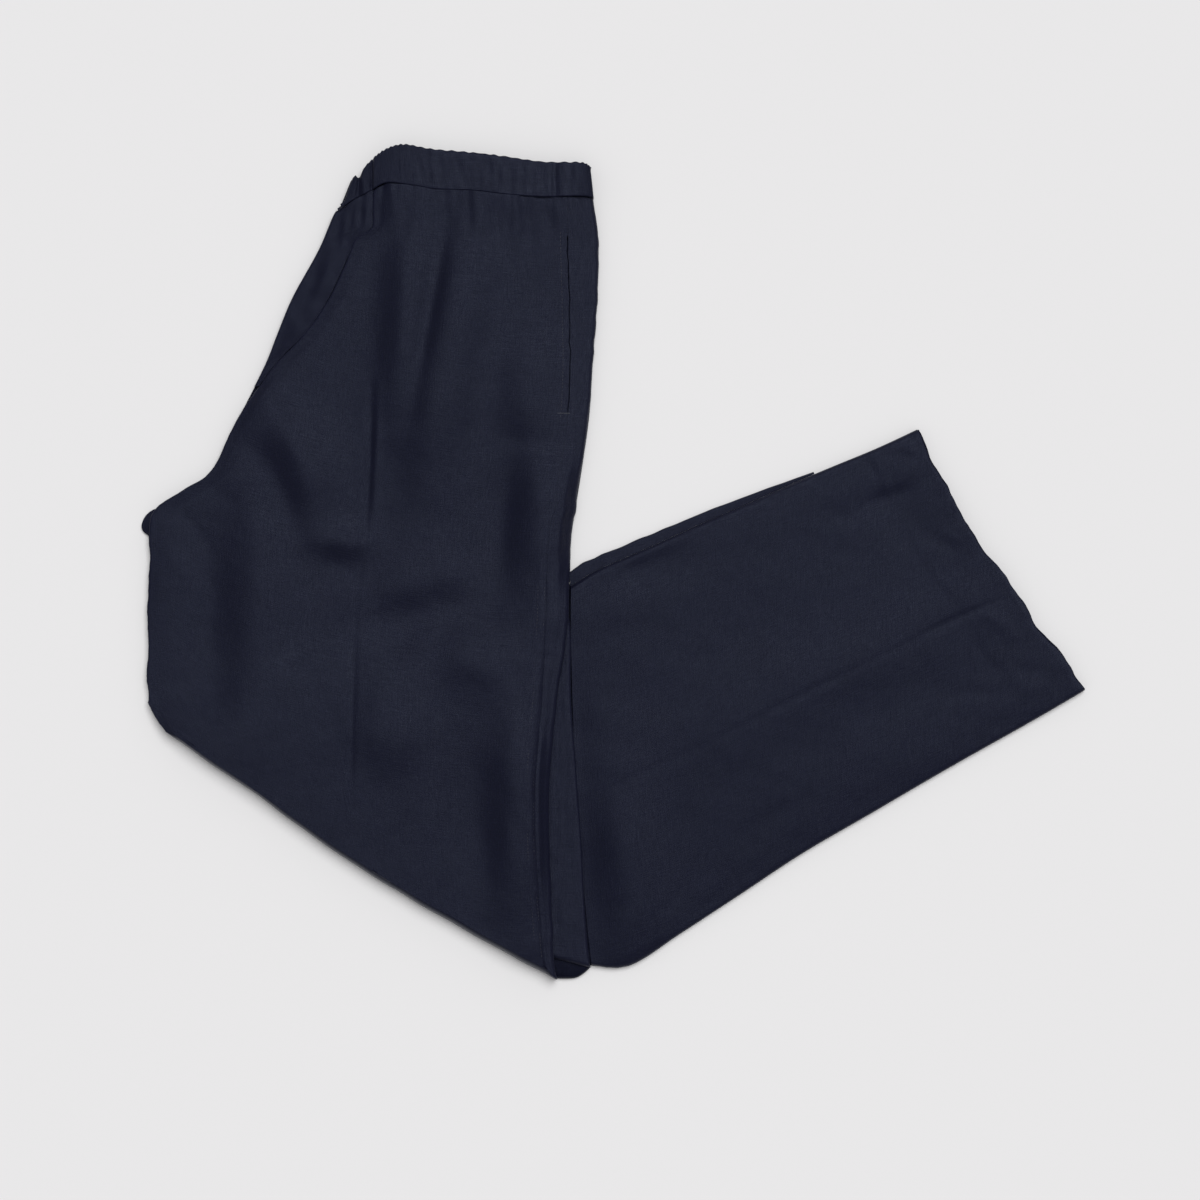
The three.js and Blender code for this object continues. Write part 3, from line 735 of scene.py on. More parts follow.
def cloth_material(name, settings, shade=1.0, lustre=1.0):
    """Dark plain-weave cloth: threads both ways, slubs, heathered specks and soft unevenness."""
    if name in bpy.data.materials:
        return bpy.data.materials[name]
    material, tree, shader = new_material(name)
    weave = node(tree, "ShaderNodeUVMap", uv_map="weave").outputs["UV"]
    slubs = combine(tree, "ADD", *(noise(tree, weave, scale, Detail=2.0) for scale in SLUB_SCALES))
    ramp = node(tree, "ShaderNodeValToRGB")
    for element, (part, tint) in zip(ramp.color_ramp.elements, CLOTH_TONES):
        colour = [channel * part * lift * shade for channel, lift in zip(settings.colour, tint)]
        element.color = (*colour, 1)
    link(tree, cloth_tone(tree, weave, slubs, settings.edge_wear_and_highlight), ramp.inputs["Fac"])
    link(tree, ramp.outputs["Color"], shader.inputs["Base Color"])
    link(tree, cloth_relief(tree, weave, slubs, settings), shader.inputs["Normal"])
    link(tree, level(tree, slubs, 0.6, 1.4, 0.43, 0.36), shader.inputs["Roughness"])
    set_inputs(shader, {
        "Specular IOR Level": settings.lustre * lustre,
        "Specular Tint": (0.66, 0.75, 1, 1),
        "Sheen Weight": settings.sheen,
        "Sheen Roughness": 0.45,
        "Sheen Tint": (0.55, 0.6, 0.82, 1),
    })
    return material


def thread_material(name, colour):
    """Matt sewing thread, a shade lighter than the cloth, twisted."""
    if name in bpy.data.materials:
        return bpy.data.materials[name]
    material, tree, shader = new_material(name)
    twist = node(tree, "ShaderNodeTexNoise", Scale=2600.0, Detail=2.0)
    link(tree, node(tree, "ShaderNodeTexCoord").outputs["Object"], twist.inputs["Vector"])
    ramp = node(tree, "ShaderNodeValToRGB")
    for element, part in zip(ramp.color_ramp.elements, (0.8, 1.9)):
        element.color = (*(channel * part for channel in colour), 1)
    link(tree, twist.outputs["Fac"], ramp.inputs["Fac"])
    link(tree, ramp.outputs["Color"], shader.inputs["Base Color"])
    set_inputs(shader, {"Roughness": 0.6, "Sheen Weight": 0.2})
    return material


# Panels of the left leg


def edge_waver(place, seed):
    """Small unevenness of a pressed edge along its length."""
    return 0.7 * soft_noise(place * 2.2, 0.4, 1, seed) + 0.25 * soft_noise(place * 7, 2.3, 1, seed + 1)


def front_width(row):
    """Width of the left front: its edge runs straight down from the waist before it steps out."""
    over = np.maximum(0, row["width"] - row["side_x"] + FRONT_JOG["x"])
    low, high = FRONT_JOG["y"] - FRONT_JOG["reach"], FRONT_JOG["y"] + FRONT_JOG["reach"]
    return row["width"] - over * between(row["side_y"], low, high)


def with_knee_rim(places):
    """The places with the knee fold's rolled rim, and the share by which each row moves in and sinks."""
    turns = ROLL_ANGLES[::-1, None]
    flat = np.zeros_like(places)
    places = np.vstack([places, np.full_like(turns, KNEE_FOLD)])
    return places, np.vstack([flat, 1 - np.sin(turns)]), np.vstack([flat, 1 - np.cos(turns)])


def knee_inward(places, reach, front, gap, shift):
    """How far the cloth lies in from the knee fold's line: its roll, a waver and a flatter part."""
    roll = shift * (KNEE_ROLL[0] + (KNEE_ROLL[1] - KNEE_ROLL[0]) * front)
    waver = 0.8 * soft_noise(reach, 1.1, 34, SEED + 30) * (places == KNEE_FOLD)
    flatter = FOLD_FLAT["inward"] * nearness(front - FOLD_FLAT["place"], FOLD_FLAT["reach"])
    tight = 0.3 + 0.7 * between(gap, 0, 16)
    return tight * (roll + waver + flatter * between(places, 12, KNEE_FOLD))


def thigh_grid(start, end, spacing, start_roll, end_roll):
    """Grid of a thigh panel between two distances from the side edge, down to the knee fold's rim."""
    def middle(place):
        return thigh_point(place, THIGH_MIDDLE)

    places, shift, sink = with_knee_rim(places_along(middle, 0, KNEE_FOLD - KNEE_RIM, spacing[0]))
    row = sample(THIGH, places)
    width, slant = row["width"], np.radians(row["slant"])
    distance, drop = across(start(row) - end(row), spacing[1], start_roll, end_roll)
    reach = start(row) - distance
    reach = reach - (width - front_width(row)) * between(reach, width - FRONT_JOG["blend"], width)
    front = np.clip(reach / width, 0, 1)
    gap = np.minimum(reach, front_width(row) - reach)
    x, y = thigh_point(places, reach)
    waver = edge_waver(places, SEED + 20) * front + edge_waver(places, SEED + 24) * (1 - front)
    x = x - np.cos(slant) * waver * between(places, 0, 1)
    run = run_lengths(x, y)
    z = thigh_cloth(x, y, np.minimum(reach, width - reach), gap) - drop
    z = z + between(-y, -30, 30) * seam_pucker(reach - row["strip"], run)
    z = LOWEST_RIM + (z - LOWEST_RIM) * (1 - sink)
    inward = knee_inward(places, reach, front, gap, shift)
    return stacked(x + np.sin(slant) * inward, y + np.cos(slant) * inward, z), stacked(reach, run), gap


def make_front_left(material, thickness):
    def seam(row):
        inside = (row["side_y"] > POCKET["foot"]) & (row["side_y"] < POCKET["head"])
        return row["strip"] + np.where(inside, POCKET["slit"], SEAM_GAP)

    grid, weave, gap = thigh_grid(lambda row: row["width"], seam, SPACING["front"], FRONT_ROLL, None)
    lay("left_front_cloth", grid, weave, thickness, material, "front_left", 2.2 * nearness(gap, 1.5))


def make_back_left(material, thickness):
    def side(row):
        return 0 * row["strip"]

    grid, weave, gap = thigh_grid(lambda row: row["strip"], side, SPACING["back"], None, EDGE_ROLL)
    lay("left_back_cloth", grid, weave, thickness, material, "back_left", nearness(gap, 2.2))


def make_pocket_facing(material):
    places = places_along(thigh_point, POCKET["start"], POCKET["end"], FACING["rows"])
    reach = sample(THIGH, places)["strip"] + np.linspace(FACING["from"], FACING["to"], FACING["cuts"])
    x, y = thigh_point(places, reach)
    z = thigh_height(x, y) * settled(reach) + relief(FOLDS, x, y) - FACING["below"]
    weave = stacked(reach, run_lengths(x, y))
    lay("pocket_facing_cloth", stacked(x, y, z), weave, THIN_CLOTH["facing"], material, "pocket_facing")


def make_left_inseam(material, thickness):
    rows, columns = SPACING["inseam"]
    places = np.vstack([[[PEEK[0]]], places_along(shin_point, 0, PEEK[1], rows)])
    peek = sample(SHIN, places)["peek"] + 0.6 * soft_noise(places * 3, 5.5, 1, SEED + 40)
    distance, drop = across(peek + INSEAM["under"], columns, INSEAM["roll"])
    x, y = shin_point(places, distance - peek - INSEAM["under"] - SEAM_GAP)
    z = INSEAM["top"] - drop + 0.25 * soft_noise(x, y, 14, SEED + 41)
    weave, edge_wear_and_highlight = stacked(distance, run_lengths(x, y)), nearness(distance, 2)
    lay("left_inseam_cloth", stacked(x, y, z), weave, thickness, material, "back_left_shin", edge_wear_and_highlight)


# Panels of the right leg


def make_right_hip(material, thickness):
    rows, columns = SPACING["hip"]
    places = places_along(thigh_point, 0, HIP_END, rows)
    row = sample(THIGH, places)
    jog = row["width"] - front_width(row)
    distance, drop = across(np.maximum(row["hip"] + jog - SEAM_GAP, 0.4), columns, HIP_ROLL)
    x, y = thigh_point(places, row["width"] + row["hip"] - distance)
    fine = 0.9 * waist_gathers(x, y) + relief(CREASES, x, y) + 0.6 * soft_noise(x, y, 13, SEED + 50)
    z = thigh_height(x, y) - HIP_DROP - drop + fine * between(distance, 0, 5)
    weave, edge_wear_and_highlight = stacked(distance, run_lengths(x, y)), 2 * nearness(distance, 1.6)
    lay("right_hip_cloth", stacked(x, y, z), weave, thickness, material, "front_right_hip", edge_wear_and_highlight)


def hem_rise(distance, to_hem):
    """The turned-up hem makes the cloth stand a little higher, with a soft step at its top, and uneven."""
    uneven = 0.5 * soft_noise(distance, to_hem * 0.2, 13, SEED + 60) * np.exp(-to_hem / 18)
    return HEM_RIDGE * between(HEM_TURN - to_hem, -1.6, 1.6) + uneven


def make_right_shin(material, thickness):
    rows, columns = SPACING["shin"]
    places = places_along(shin_point, 0, HEM, rows)
    width = sample(SHIN, places)["width"]
    distance, drop = across(width, columns, EDGE_ROLL, EDGE_ROLL)
    x, y = shin_point(places, distance)
    gap = np.minimum(distance, width - distance)
    run = run_lengths(x, y)
    to_hem = run[-1:] - run
    z = shin_cloth(x, y, gap) + hem_rise(distance, to_hem) - drop - turned_down(to_hem, *TURNED_EDGE)
    weave, edge_wear_and_highlight = stacked(distance, run), np.maximum(nearness(gap, 2), nearness(to_hem, 2))
    lay("right_shin_cloth", stacked(x, y, z), weave, thickness, material, "front_right_shin", edge_wear_and_highlight)


def make_right_knee(material, thickness):
    def line(place):
        row = sample(KNEE_STRIP, place)
        return row["end"], row["y"]

    rows, columns = SPACING["knee"]
    row = sample(KNEE_STRIP, places_along(line, 0, last_place(KNEE_STRIP), rows))
    width = row["end"] - row["start"]
    distance, drop = across(width, columns, None, STRIP_ROLL)
    tilt = STRIP_END["tilt"] * between(-row["y"], STRIP_END["from"], -KNEE_STRIP["y"][-1])
    x, y = row["start"] + distance, row["y"] - tilt * distance / width
    run = run_lengths(x, y)
    pucker = 0.28 * soft_noise(x, y * 0.12, 3.2, SEED + 70) + 0.25 * soft_noise(x, y, 14, SEED + 71)
    z = thigh_height(row["start"], row["y"]) * (1 - EDGE_SETTLE) - STRIP_BELOW - drop
    z = z - turned_down(run[-1:] - run, STRIP_END["roll"], STRIP_END["drop"])
    z = z + pucker * between(row["end"] - x, 0, 6)
    weave, edge_wear_and_highlight = stacked(distance, run), nearness(row["end"] - x, 2)
    lay("right_knee_cloth", stacked(x, y, z), weave, thickness, material, "back_right_knee", edge_wear_and_highlight)


def make_right_crotch(material):
    rows, columns = CROTCH_RISE["cuts"]
    row = sample(CROTCH_POINT, np.linspace(0, last_place(CROTCH_POINT), rows)[:, None])
    shares = np.linspace(0, 1, columns)
    x, y = row["outer"] + (row["inner"] - row["outer"]) * shares, row["y"]
    z = CROTCH_RISE["foot"] + CROTCH_RISE["rise"] * np.sin(shares * math.pi / 2)
    grid, weave, edge_wear_and_highlight = stacked(x, y, z), stacked(x, y), nearness(shares, 0.15)
    lay("right_crotch_cloth", grid, weave, THIN_CLOTH["crotch"], material, "back_right_crotch", edge_wear_and_highlight)


# Waistband


# Bands from the top one down: name, first place, top, turn of the gathers, wall, cuts a gather, spacing
BANDS = (
    ("left_front_band", 0.3, BAND_TOP, 0.0, 3.0, 9, 1.4),
    ("left_back_band", 3.1, 9.2, 1.9, 2.4, 5, 3.0),
    ("right_back_band", 0.0, 6.4, 3.7, 2.4, 5, 3.0),
    ("right_front_band", 0.15, 3.4, 5.2, 2.4, 5, 3.0),
)
BAND_CORNER = {"reach": 6, "drop": 7}
BAND_EDGE = {"reach": 3, "under": 0.6}


def band_height(x, top):
    """Height of a band, with the top one's step at the centre front."""
    step = BAND_STEP * (top == BAND_TOP)
    return top - step * (1 - between(x, CENTRE_FRONT_X - 1.0, CENTRE_FRONT_X + 0.8))


def band_wave(share, phase):
    """The gathers along a band."""
    length = share * BAND_LENGTH
    turn = share * GATHERS * 2 * math.pi + phase + 0.9 * soft_noise(length, phase, 11, SEED + 80)
    return np.cos(turn) * (0.7 + 0.8 * soft_noise(length, phase + 1, 9, SEED + 81))


def band_creases(x, y, places, up):
    """A band's creases, the valley of its notch and the one at the centre front."""
    valley = nearness(places - BAND_NOTCH["place"] - 0.3 * (1 - up), 0.17)
    fine = 0.4 * soft_noise(x, y * 0.5, 7, SEED + 82) - 0.9 * nearness(x - BAND_CREASE_X, 2.2)
    return fine - BAND_NOTCH["valley"] * valley - nearness(x - CENTRE_FRONT_X + 1.5, 1.1)


def make_band(material, name, start, top, phase, wall, cuts, spacing):
    cells = int(GATHERS * cuts * (BAND_END - start) / BAND_END)
    places = np.linspace(start, BAND_END, cells + 1)[:, None]
    height = sample(BAND, places)["height"]
    length = places / BAND_END * BAND_LENGTH
    wave = band_wave(places / BAND_END, phase)
    to_side, to_start = ((part / BAND_END * BAND_LENGTH) for part in (BAND_END - places, places - start))
    notch = BAND_NOTCH["depth"] * nearness(places - BAND_NOTCH["place"], BAND_NOTCH["reach"])
    tall = height + 0.45 * wave - turned_down(to_side, BAND_CORNER["reach"], BAND_CORNER["drop"]) - notch
    deepest = wall - BAND_EDGE["under"]
    distance, drop = across(tall, spacing, TURNED_EDGE, (BAND_ROLL[0], min(BAND_ROLL[1], deepest)))
    up = distance / height
    x, y = band_point(places, up)
    strength = 0.15 * np.minimum(1, distance / 4) * (0.7 + 0.3 * np.cos(up * 9 + length * 0.3))
    z = band_height(x, top) + strength * wave + band_creases(x, y, places, up) - drop
    z = z - turned_down(np.minimum(to_start, to_side), BAND_EDGE["reach"], deepest)
    edge_wear_and_highlight = np.maximum(nearness(distance, 1.5), nearness(height - distance, 2.5))
    stands_for = "waistband" if top == BAND_TOP else "hidden_layers"
    lay(name, stacked(x, y, z), stacked(length, distance), wall, material, stands_for, edge_wear_and_highlight, "waistband")


# Hidden layers: the edges of the lower layers of the fold


# Layers in the edge, and the turns of each one's rounded edge: share of its height, and inset
LAYERS = 3
LAYER_TURNS = ((0.04, 1.5), (0.25, 0.75), (0.5, 0.35), (0.75, 0.75), (0.96, 1.5))

# Rings round the hidden layers: where their points lie, how high their edges are and where they start
CORE_SHARES = np.concatenate([[0.01, 0.03, 0.06], np.linspace(0.1, 0.9, 17), [0.94, 0.97, 0.99]])
CORE_REACH = 3.6
RING_STEP = 7
RING_PLACES = {"thigh": (0.05, CROTCH), "shin": (0.5, HEM - 0.42)}
EDGE_HEIGHTS = {"thigh": 3.6, "knee": 5.0, "step": 3.0, "shin": 2.6}
HIP_LOWER = {"drop": 1.7, "from": 14, "to": 10}
PEEK_LOWER = {"top": 1.4, "past": 4}
CORE_FLAT = SHIN_TOP * (1 - EDGE_SETTLE) - CORE_DROP + 0.3
FAN_NOTCH = {"x": -30, "y": 8, "run": -1, "drop": -21}
FAN_PLACES = np.linspace(8.2, 13, 15)
FAN_SHARES = np.linspace(0.96, 0.1, 18)
FAN_INSETS = {"thigh": 4, "from": 11.5, "knee": 6.0}

# Rings of the step beside the knee: start, end, bow, highest point, and how far in the end lies
KNEE_STEP = (
    ((-36, -14), (-48, -297), 10, 10.5, 5.5),
    ((-34.6, -14.4), (-43, -297), 10, 8.2, 9.5),
    ((-32, -15), (-23, -296), 4, 8.2, 9.5),
    ((-30.6, -15.5), (-19.5, -292), 4, 3.3, 1),
)


def layer_profile():
    """Insets and shares of height of the rounded edges of stacked layers."""
    shares, insets = [], []
    for layer in range(LAYERS):
        for turn, inset in LAYER_TURNS:
            shares.append((layer + turn) / LAYERS * 0.97)
            insets.append(inset + 0.25 * math.sin(layer * 2.4))
    shares[0] = 0.0
    return np.array(insets), np.array(shares)


def core_ring(point, width, edge, top, inset=0.0, seed=0):
    """A ring round the hidden layers: up one side, over the top and down the other, which can lie in."""
    insets, shares = layer_profile()
    wander = 0.35 * soft_noise(seed * 0.37 + shares * 9, 0.6, 1, SEED + 90)
    over = CORE_REACH + (width - inset - 2 * CORE_REACH) * CORE_SHARES
    far = width - insets - inset - wander
    x, y = point(np.concatenate([insets + wander, over, far[::-1]]))
    z = np.concatenate([shares * edge, top(*point(over), over), (shares * edge)[::-1]])
    return stacked(x, y, z)


def core_top(x, y):
    """Top of the hidden layers under the thigh."""
    return thigh_height(x, y) * (1 - EDGE_SETTLE) - CORE_DROP


def straight(start, end, bow=0.0):
    """Points along a line from start to end, bent sideways by bow, and its length."""
    start, end = np.array(start, float), np.array(end, float)
    width = float(np.linalg.norm(end - start))
    along = (end - start) / width

    def point(distance):
        sag = 4 * bow * distance * (width - distance) / width**2
        x = start[0] + along[0] * distance + along[1] * sag
        return x, start[1] + along[1] * distance - along[0] * sag

    return point, width


def thigh_rings():
    """Rings from the waist to the crotch, lower at the hip's edge."""
    for place in places_along(thigh_point, *RING_PLACES["thigh"], RING_STEP).ravel():
        row = sample(THIGH, place)
        hip = max(0.0, float(row["hip"]))
        width = float(row["width"])

        def point(distance):
            return thigh_point(place, distance)

        def top(x, y, distance):
            lower = between(distance, width - HIP_LOWER["from"], width - HIP_LOWER["to"]) * (hip > 1)
            return core_top(x, y) - HIP_LOWER["drop"] * lower

        yield core_ring(point, width + hip, EDGE_HEIGHTS["thigh"], top, seed=place)


def fan_rings():
    """Rings fanned about the notch, round the knee fold."""
    ends = []
    for place in FAN_PLACES:
        inset = FAN_INSETS["thigh"] * float(between(place, FAN_INSETS["from"], FAN_PLACES[-1]))
        end = thigh_point(place, float(sample(THIGH, place)["width"]))
        ends.append((end, inset, EDGE_HEIGHTS["thigh"]))
    for share in FAN_SHARES:
        end = thigh_point(KNEE_FOLD, float(THIGH["width"][KNEE_FOLD]) * share)
        ends.append((end, FAN_INSETS["knee"], EDGE_HEIGHTS["knee"]))
    for index, (end, inset, edge) in enumerate(ends):
        share = (index + 1) / (len(ends) + 1)
        start = (FAN_NOTCH["x"] + FAN_NOTCH["run"] * share, FAN_NOTCH["y"] + FAN_NOTCH["drop"] * share)
        point, width = straight(start, end)
        yield core_ring(point, width, edge, lambda x, y, _: core_top(x, y), inset, index * 0.2)


def step_rings():
    """Rings where the thigh's edge steps down to the lower leg."""
    for start, end, bow, highest, inset in KNEE_STEP:

        def top(x, y, _):
            return np.minimum(highest, core_top(x, y))

        yield core_ring(*straight(start, end, bow), EDGE_HEIGHTS["step"], top, inset)


def shin_rings():
    """Rings along the lower leg, lower under the inseam that peeks out."""
    for place in places_along(shin_point, *RING_PLACES["shin"], RING_STEP).ravel():
        row = sample(SHIN, place)
        edge = max(0.0, float(row["peek"])) + PEEK_LOWER["past"]

        def point(distance):
            return shin_point(place, distance)

        def top(x, y, distance):
            return np.where(distance >= edge, CORE_FLAT, PEEK_LOWER["top"])

        yield core_ring(point, float(row["width"]), EDGE_HEIGHTS["shin"], top, seed=place * 3)


def make_hidden_layers(material):
    rings = np.array([*thigh_rings(), *fan_rings(), *step_rings(), *shin_rings()])
    points = rings.reshape(-1, 3) + (*CENTRE, 0)
    index = np.arange(len(points)).reshape(rings.shape[:2])
    ahead = np.roll(index, -1, axis=1)
    sides = stacked(index[:-1], ahead[:-1], ahead[1:], index[1:]).reshape(-1, 4)
    faces = [*sides.tolist(), index[0, ::-1].tolist(), index[-1].tolist()]
    if inside_out(points, sides):
        faces = [face[::-1] for face in faces]
    edge_wear_and_highlight = np.zeros(len(points))
    piece = mesh_piece("hidden_layers_cloth", points, faces, points[:, :2], edge_wear_and_highlight, material, SHARP_LAYERS)
    dress(piece, "cloth", "hidden_layers")


# Lower edge of the folded layers that show between the thigh and the knee strip
KNEE_UNDER = table(
    "x y",
    (-52, -290),
    (-46, -297),
    (-41.5, -300.4),
    (-33, -300.8),
    (-26.6, -300.3),
    (-21, -297.2),
    (-15.8, -292.6),
)


def make_knee_under(material):
    row = sample(KNEE_UNDER, np.linspace(0, last_place(KNEE_UNDER), KNEE_LAYERS["cuts"])[:, None])
    depth = np.full_like(row["y"], KNEE_LAYERS["depth"])
    distance, drop = across(depth, KNEE_LAYERS["spacing"], KNEE_LAYERS["roll"])
    x, y = row["x"], row["y"] + distance
    z = KNEE_LAYERS["top"] + 0.5 * soft_noise(x, y, 8, SEED + 95) - drop
    lay("knee_fold_layers", stacked(x, y, z), stacked(x, y), THIN_CLOTH["knee"], material, "hidden_layers")


# Hems of the hidden layers, from the top one down: name, top, how far it peeks out, seed
LOWER_HEMS = (
    ("right_back_hem", 4.1, 0.6, 3),
    ("left_back_hem", 2.8, 1.0, 5),
    ("left_front_hem", 1.5, 0.2, 8),
)


def make_lower_hems(material):
    rows, columns = SPACING["hem"]
    start = HEM - LOWER_HEM["start"]
    places = places_along(shin_point, start, HEM, rows)
    row = sample(SHIN, places)
    slant = np.radians(row["slant"])
    inset, roll = LOWER_HEM["inset"], LOWER_HEM["roll"]
    distance, drop = across(row["width"] - 2 * inset, columns, roll, roll)
    distance = distance + inset
    x, y = shin_point(places, distance)
    weave, edge_wear_and_highlight = stacked(distance, run_lengths(x, y)), nearness(HEM - places, 0.05)
    for name, top, peek, seed in LOWER_HEMS:
        out = (peek + 1.3 * soft_noise(distance, seed, 24, SEED + 100)) * between(places, start, HEM)
        z = top - drop + 0.12 * soft_noise(distance, places * 9, 12, SEED + 101 + seed)
        grid = stacked(x + np.sin(slant) * out, y + np.cos(slant) * out, z)
        lay(name, grid, weave, THIN_CLOTH["hem"], material, "hidden_layers", edge_wear_and_highlight)


# Stitches


def stitch_tree():
    """Geometry nodes: a curve becomes a row of stitches, each a small lozenge of thread."""
    tree = bpy.data.node_groups.new("row_of_stitches", "GeometryNodeTree")
    sockets = (
        ("Geometry", "INPUT", "NodeSocketGeometry"),
        ("Pitch", "INPUT", "NodeSocketFloat"),
        ("Stitch length", "INPUT", "NodeSocketFloat"),
        ("Thread", "INPUT", "NodeSocketFloat"),
        ("Material", "INPUT", "NodeSocketMaterial"),
        ("Geometry", "OUTPUT", "NodeSocketGeometry"),
    )
    for name, way, kind in sockets:
        tree.interface.new_socket(name, in_out=way, socket_type=kind)
    given = node(tree, "NodeGroupInput")
    resample = node(tree, "GeometryNodeResampleCurve", mode="LENGTH")
    tangent = node(tree, "GeometryNodeInputTangent")
    turn = node(tree, "FunctionNodeAlignRotationToVector", axis="X")
    ball = node(tree, "GeometryNodeMeshIcoSphere", Subdivisions=1, Radius=0.5)
    size = node(tree, "ShaderNodeCombineXYZ")
    place = node(tree, "GeometryNodeInstanceOnPoints")
    solid = node(tree, "GeometryNodeRealizeInstances")
    finish = node(tree, "GeometryNodeSetMaterial")
    links = (
        (given, "Geometry", resample, "Curve"),
        (given, "Pitch", resample, "Length"),
        (tangent, "Tangent", turn, "Vector"),
        (given, "Stitch length", size, "X"),
        (given, "Thread", size, "Y"),
        (given, "Thread", size, "Z"),
        (resample, "Curve", place, "Points"),
        (ball, "Mesh", place, "Instance"),
        (turn, "Rotation", place, "Rotation"),
        (size, "Vector", place, "Scale"),
        (place, "Instances", solid, "Geometry"),
        (solid, "Geometry", finish, "Geometry"),
        (given, "Material", finish, "Material"),
        (finish, "Geometry", node(tree, "NodeGroupOutput"), "Geometry"),
    )
    for source, output, target, socket in links:
        link(tree, source.outputs[output], target.inputs[socket])
    return tree


def stitch_row(name, tree, paths, pitch, length, thread, material):
    """One piece of stitches along paths of points in millimetres."""
    curve = bpy.data.curves.new(name + "_path", "CURVE")
    curve.dimensions = "3D"
    for path in paths:
        points = (path + (*CENTRE, 0)) * MM
        spline = curve.splines.new("POLY")
        spline.points.add(len(points) - 1)
        spline.points.foreach_set("co", np.hstack([points, np.ones((len(points), 1))]).ravel())
    holder = placed(name + "_path", curve)
    modifier = holder.modifiers.new("stitches", "NODES")
    modifier.node_group = tree
    sockets = {item.name: item.identifier for item in tree.interface.items_tree if item.in_out == "INPUT"}
    values = {"Pitch": pitch, "Stitch length": length, "Thread": thread, "Material": material}
    for label, value in values.items():
        modifier[sockets[label]] = value
    evaluated = holder.evaluated_get(bpy.context.evaluated_depsgraph_get())
    mesh = bpy.data.meshes.new_from_object(evaluated)
    mesh.name = name
    bpy.data.objects.remove(holder)
    if not mesh.polygons:
        raise RuntimeError(f"{name} has no stitches")
    return placed(name, mesh)


def thigh_surface(place, reach):
    """Point on the thigh's cloth, for what is sewn there."""
    x, y = thigh_point(place, reach)
    gap = np.minimum(reach, sample(THIGH, place)["width"] - reach)
    return stacked(x, y, thigh_cloth(x, y, gap, gap))


def pocket_stitch_path():
    places = np.linspace(POCKET_STITCH["start"], POCKET_STITCH["end"], POCKET_STITCH["points"])
    return thigh_surface(places, sample(THIGH, places)["strip"] + POCKET["slit"] + POCKET["stitch"])


def bar_tack_path():
    x = np.linspace(BAR_TACK["start"], BAR_TACK["end"], BAR_TACK["points"])
    y = np.full_like(x, BAR_TACK["y"])
    z = thigh_height(x, y) + relief(FOLDS, x, y) - BAR_TACK["sunk"] + cloth_unevenness(x, y)
    return stacked(x, y, z)


def side_seam_paths():
    places = np.linspace(SIDE_STITCH["start"], SIDE_STITCH["end"], SIDE_STITCH["points"])
    strip = sample(THIGH, places)["strip"]
    rows = zip(SIDE_STITCH["off_seam"], SIDE_STITCH["sunk"])
    return [thigh_surface(places, strip + off_seam) - (0, 0, sunk) for off_seam, sunk in rows]


def hem_stitch_path():
    distance = np.linspace(HEM_STITCH["start"], HEM_STITCH["end"], HEM_STITCH["points"])
    place = np.full_like(distance, HEM - HEM_STITCH["to_hem"] / HEM_STITCH["section"])
    x, y = shin_point(place, distance)
    gap = np.minimum(distance, sample(SHIN, place)["width"] - distance)
    return stacked(x, y, shin_cloth(x, y, gap) + HEM_STITCH["above"])


# Operators, properties and panel


class ClothSettings(bpy.types.PropertyGroup):
    thickness: FloatProperty(name="Cloth thickness", description="Thickness of one layer of cloth",
                             default=0.0011, min=0.0003, max=0.003, unit="LENGTH")
    thread_pitch: FloatProperty(name="Thread pitch", description="Distance from one woven thread to another",
                                default=0.00055, min=0.0002, max=0.002, unit="LENGTH")
    colour: FloatVectorProperty(name="Cloth colour", description="Middle colour of the dark navy cloth",
                                default=(0.0034, 0.0038, 0.0118), subtype="COLOR", min=0, max=1)
    sheen: FloatProperty(name="Sheen", description="Strength of the cloth's soft sheen",
                         default=0.06, min=0, max=1, subtype="FACTOR")
    lustre: FloatProperty(name="Lustre", description="Strength of the wide soft shine from the fibres",
                          default=0.185, min=0, max=1, subtype="FACTOR")
    relief: FloatProperty(name="Weave relief", description="Strength of the weave's relief",
                          default=0.6, min=0, max=1, subtype="FACTOR")
    # Painted highlight: how much lighter the cloth is along its edges and seams, partly real wear and partly
    # painted sheen of the light on them.
    edge_wear_and_highlight: FloatProperty(name="Rubbed edges", description="How much lighter the cloth is at its rubbed edges",
                       default=0.16, min=0, max=1, subtype="FACTOR")


class StitchSettings(bpy.types.PropertyGroup):
    length: FloatProperty(name="Stitch length", description="Length of a visible stitch",
                          default=0.0019, min=0.0005, max=0.01, unit="LENGTH")
    pitch: FloatProperty(name="Stitch pitch", description="Distance from one stitch to the next",
                         default=0.0026, min=0.0005, max=0.02, unit="LENGTH")
    thread: FloatProperty(name="Thread thickness", description="Thickness of the sewing thread",
                          default=0.00038, min=0.0001, max=0.002, unit="LENGTH")
    thread_colour: FloatVectorProperty(name="Thread colour", description="Colour of the sewing thread",
                                       default=(0.0075, 0.0082, 0.016), subtype="COLOR", min=0, max=1)
    tack_colour: FloatVectorProperty(name="Tack colour", description="Colour of the pocket's bar tack",
                                     default=(0.028, 0.03, 0.042), subtype="COLOR", min=0, max=1)


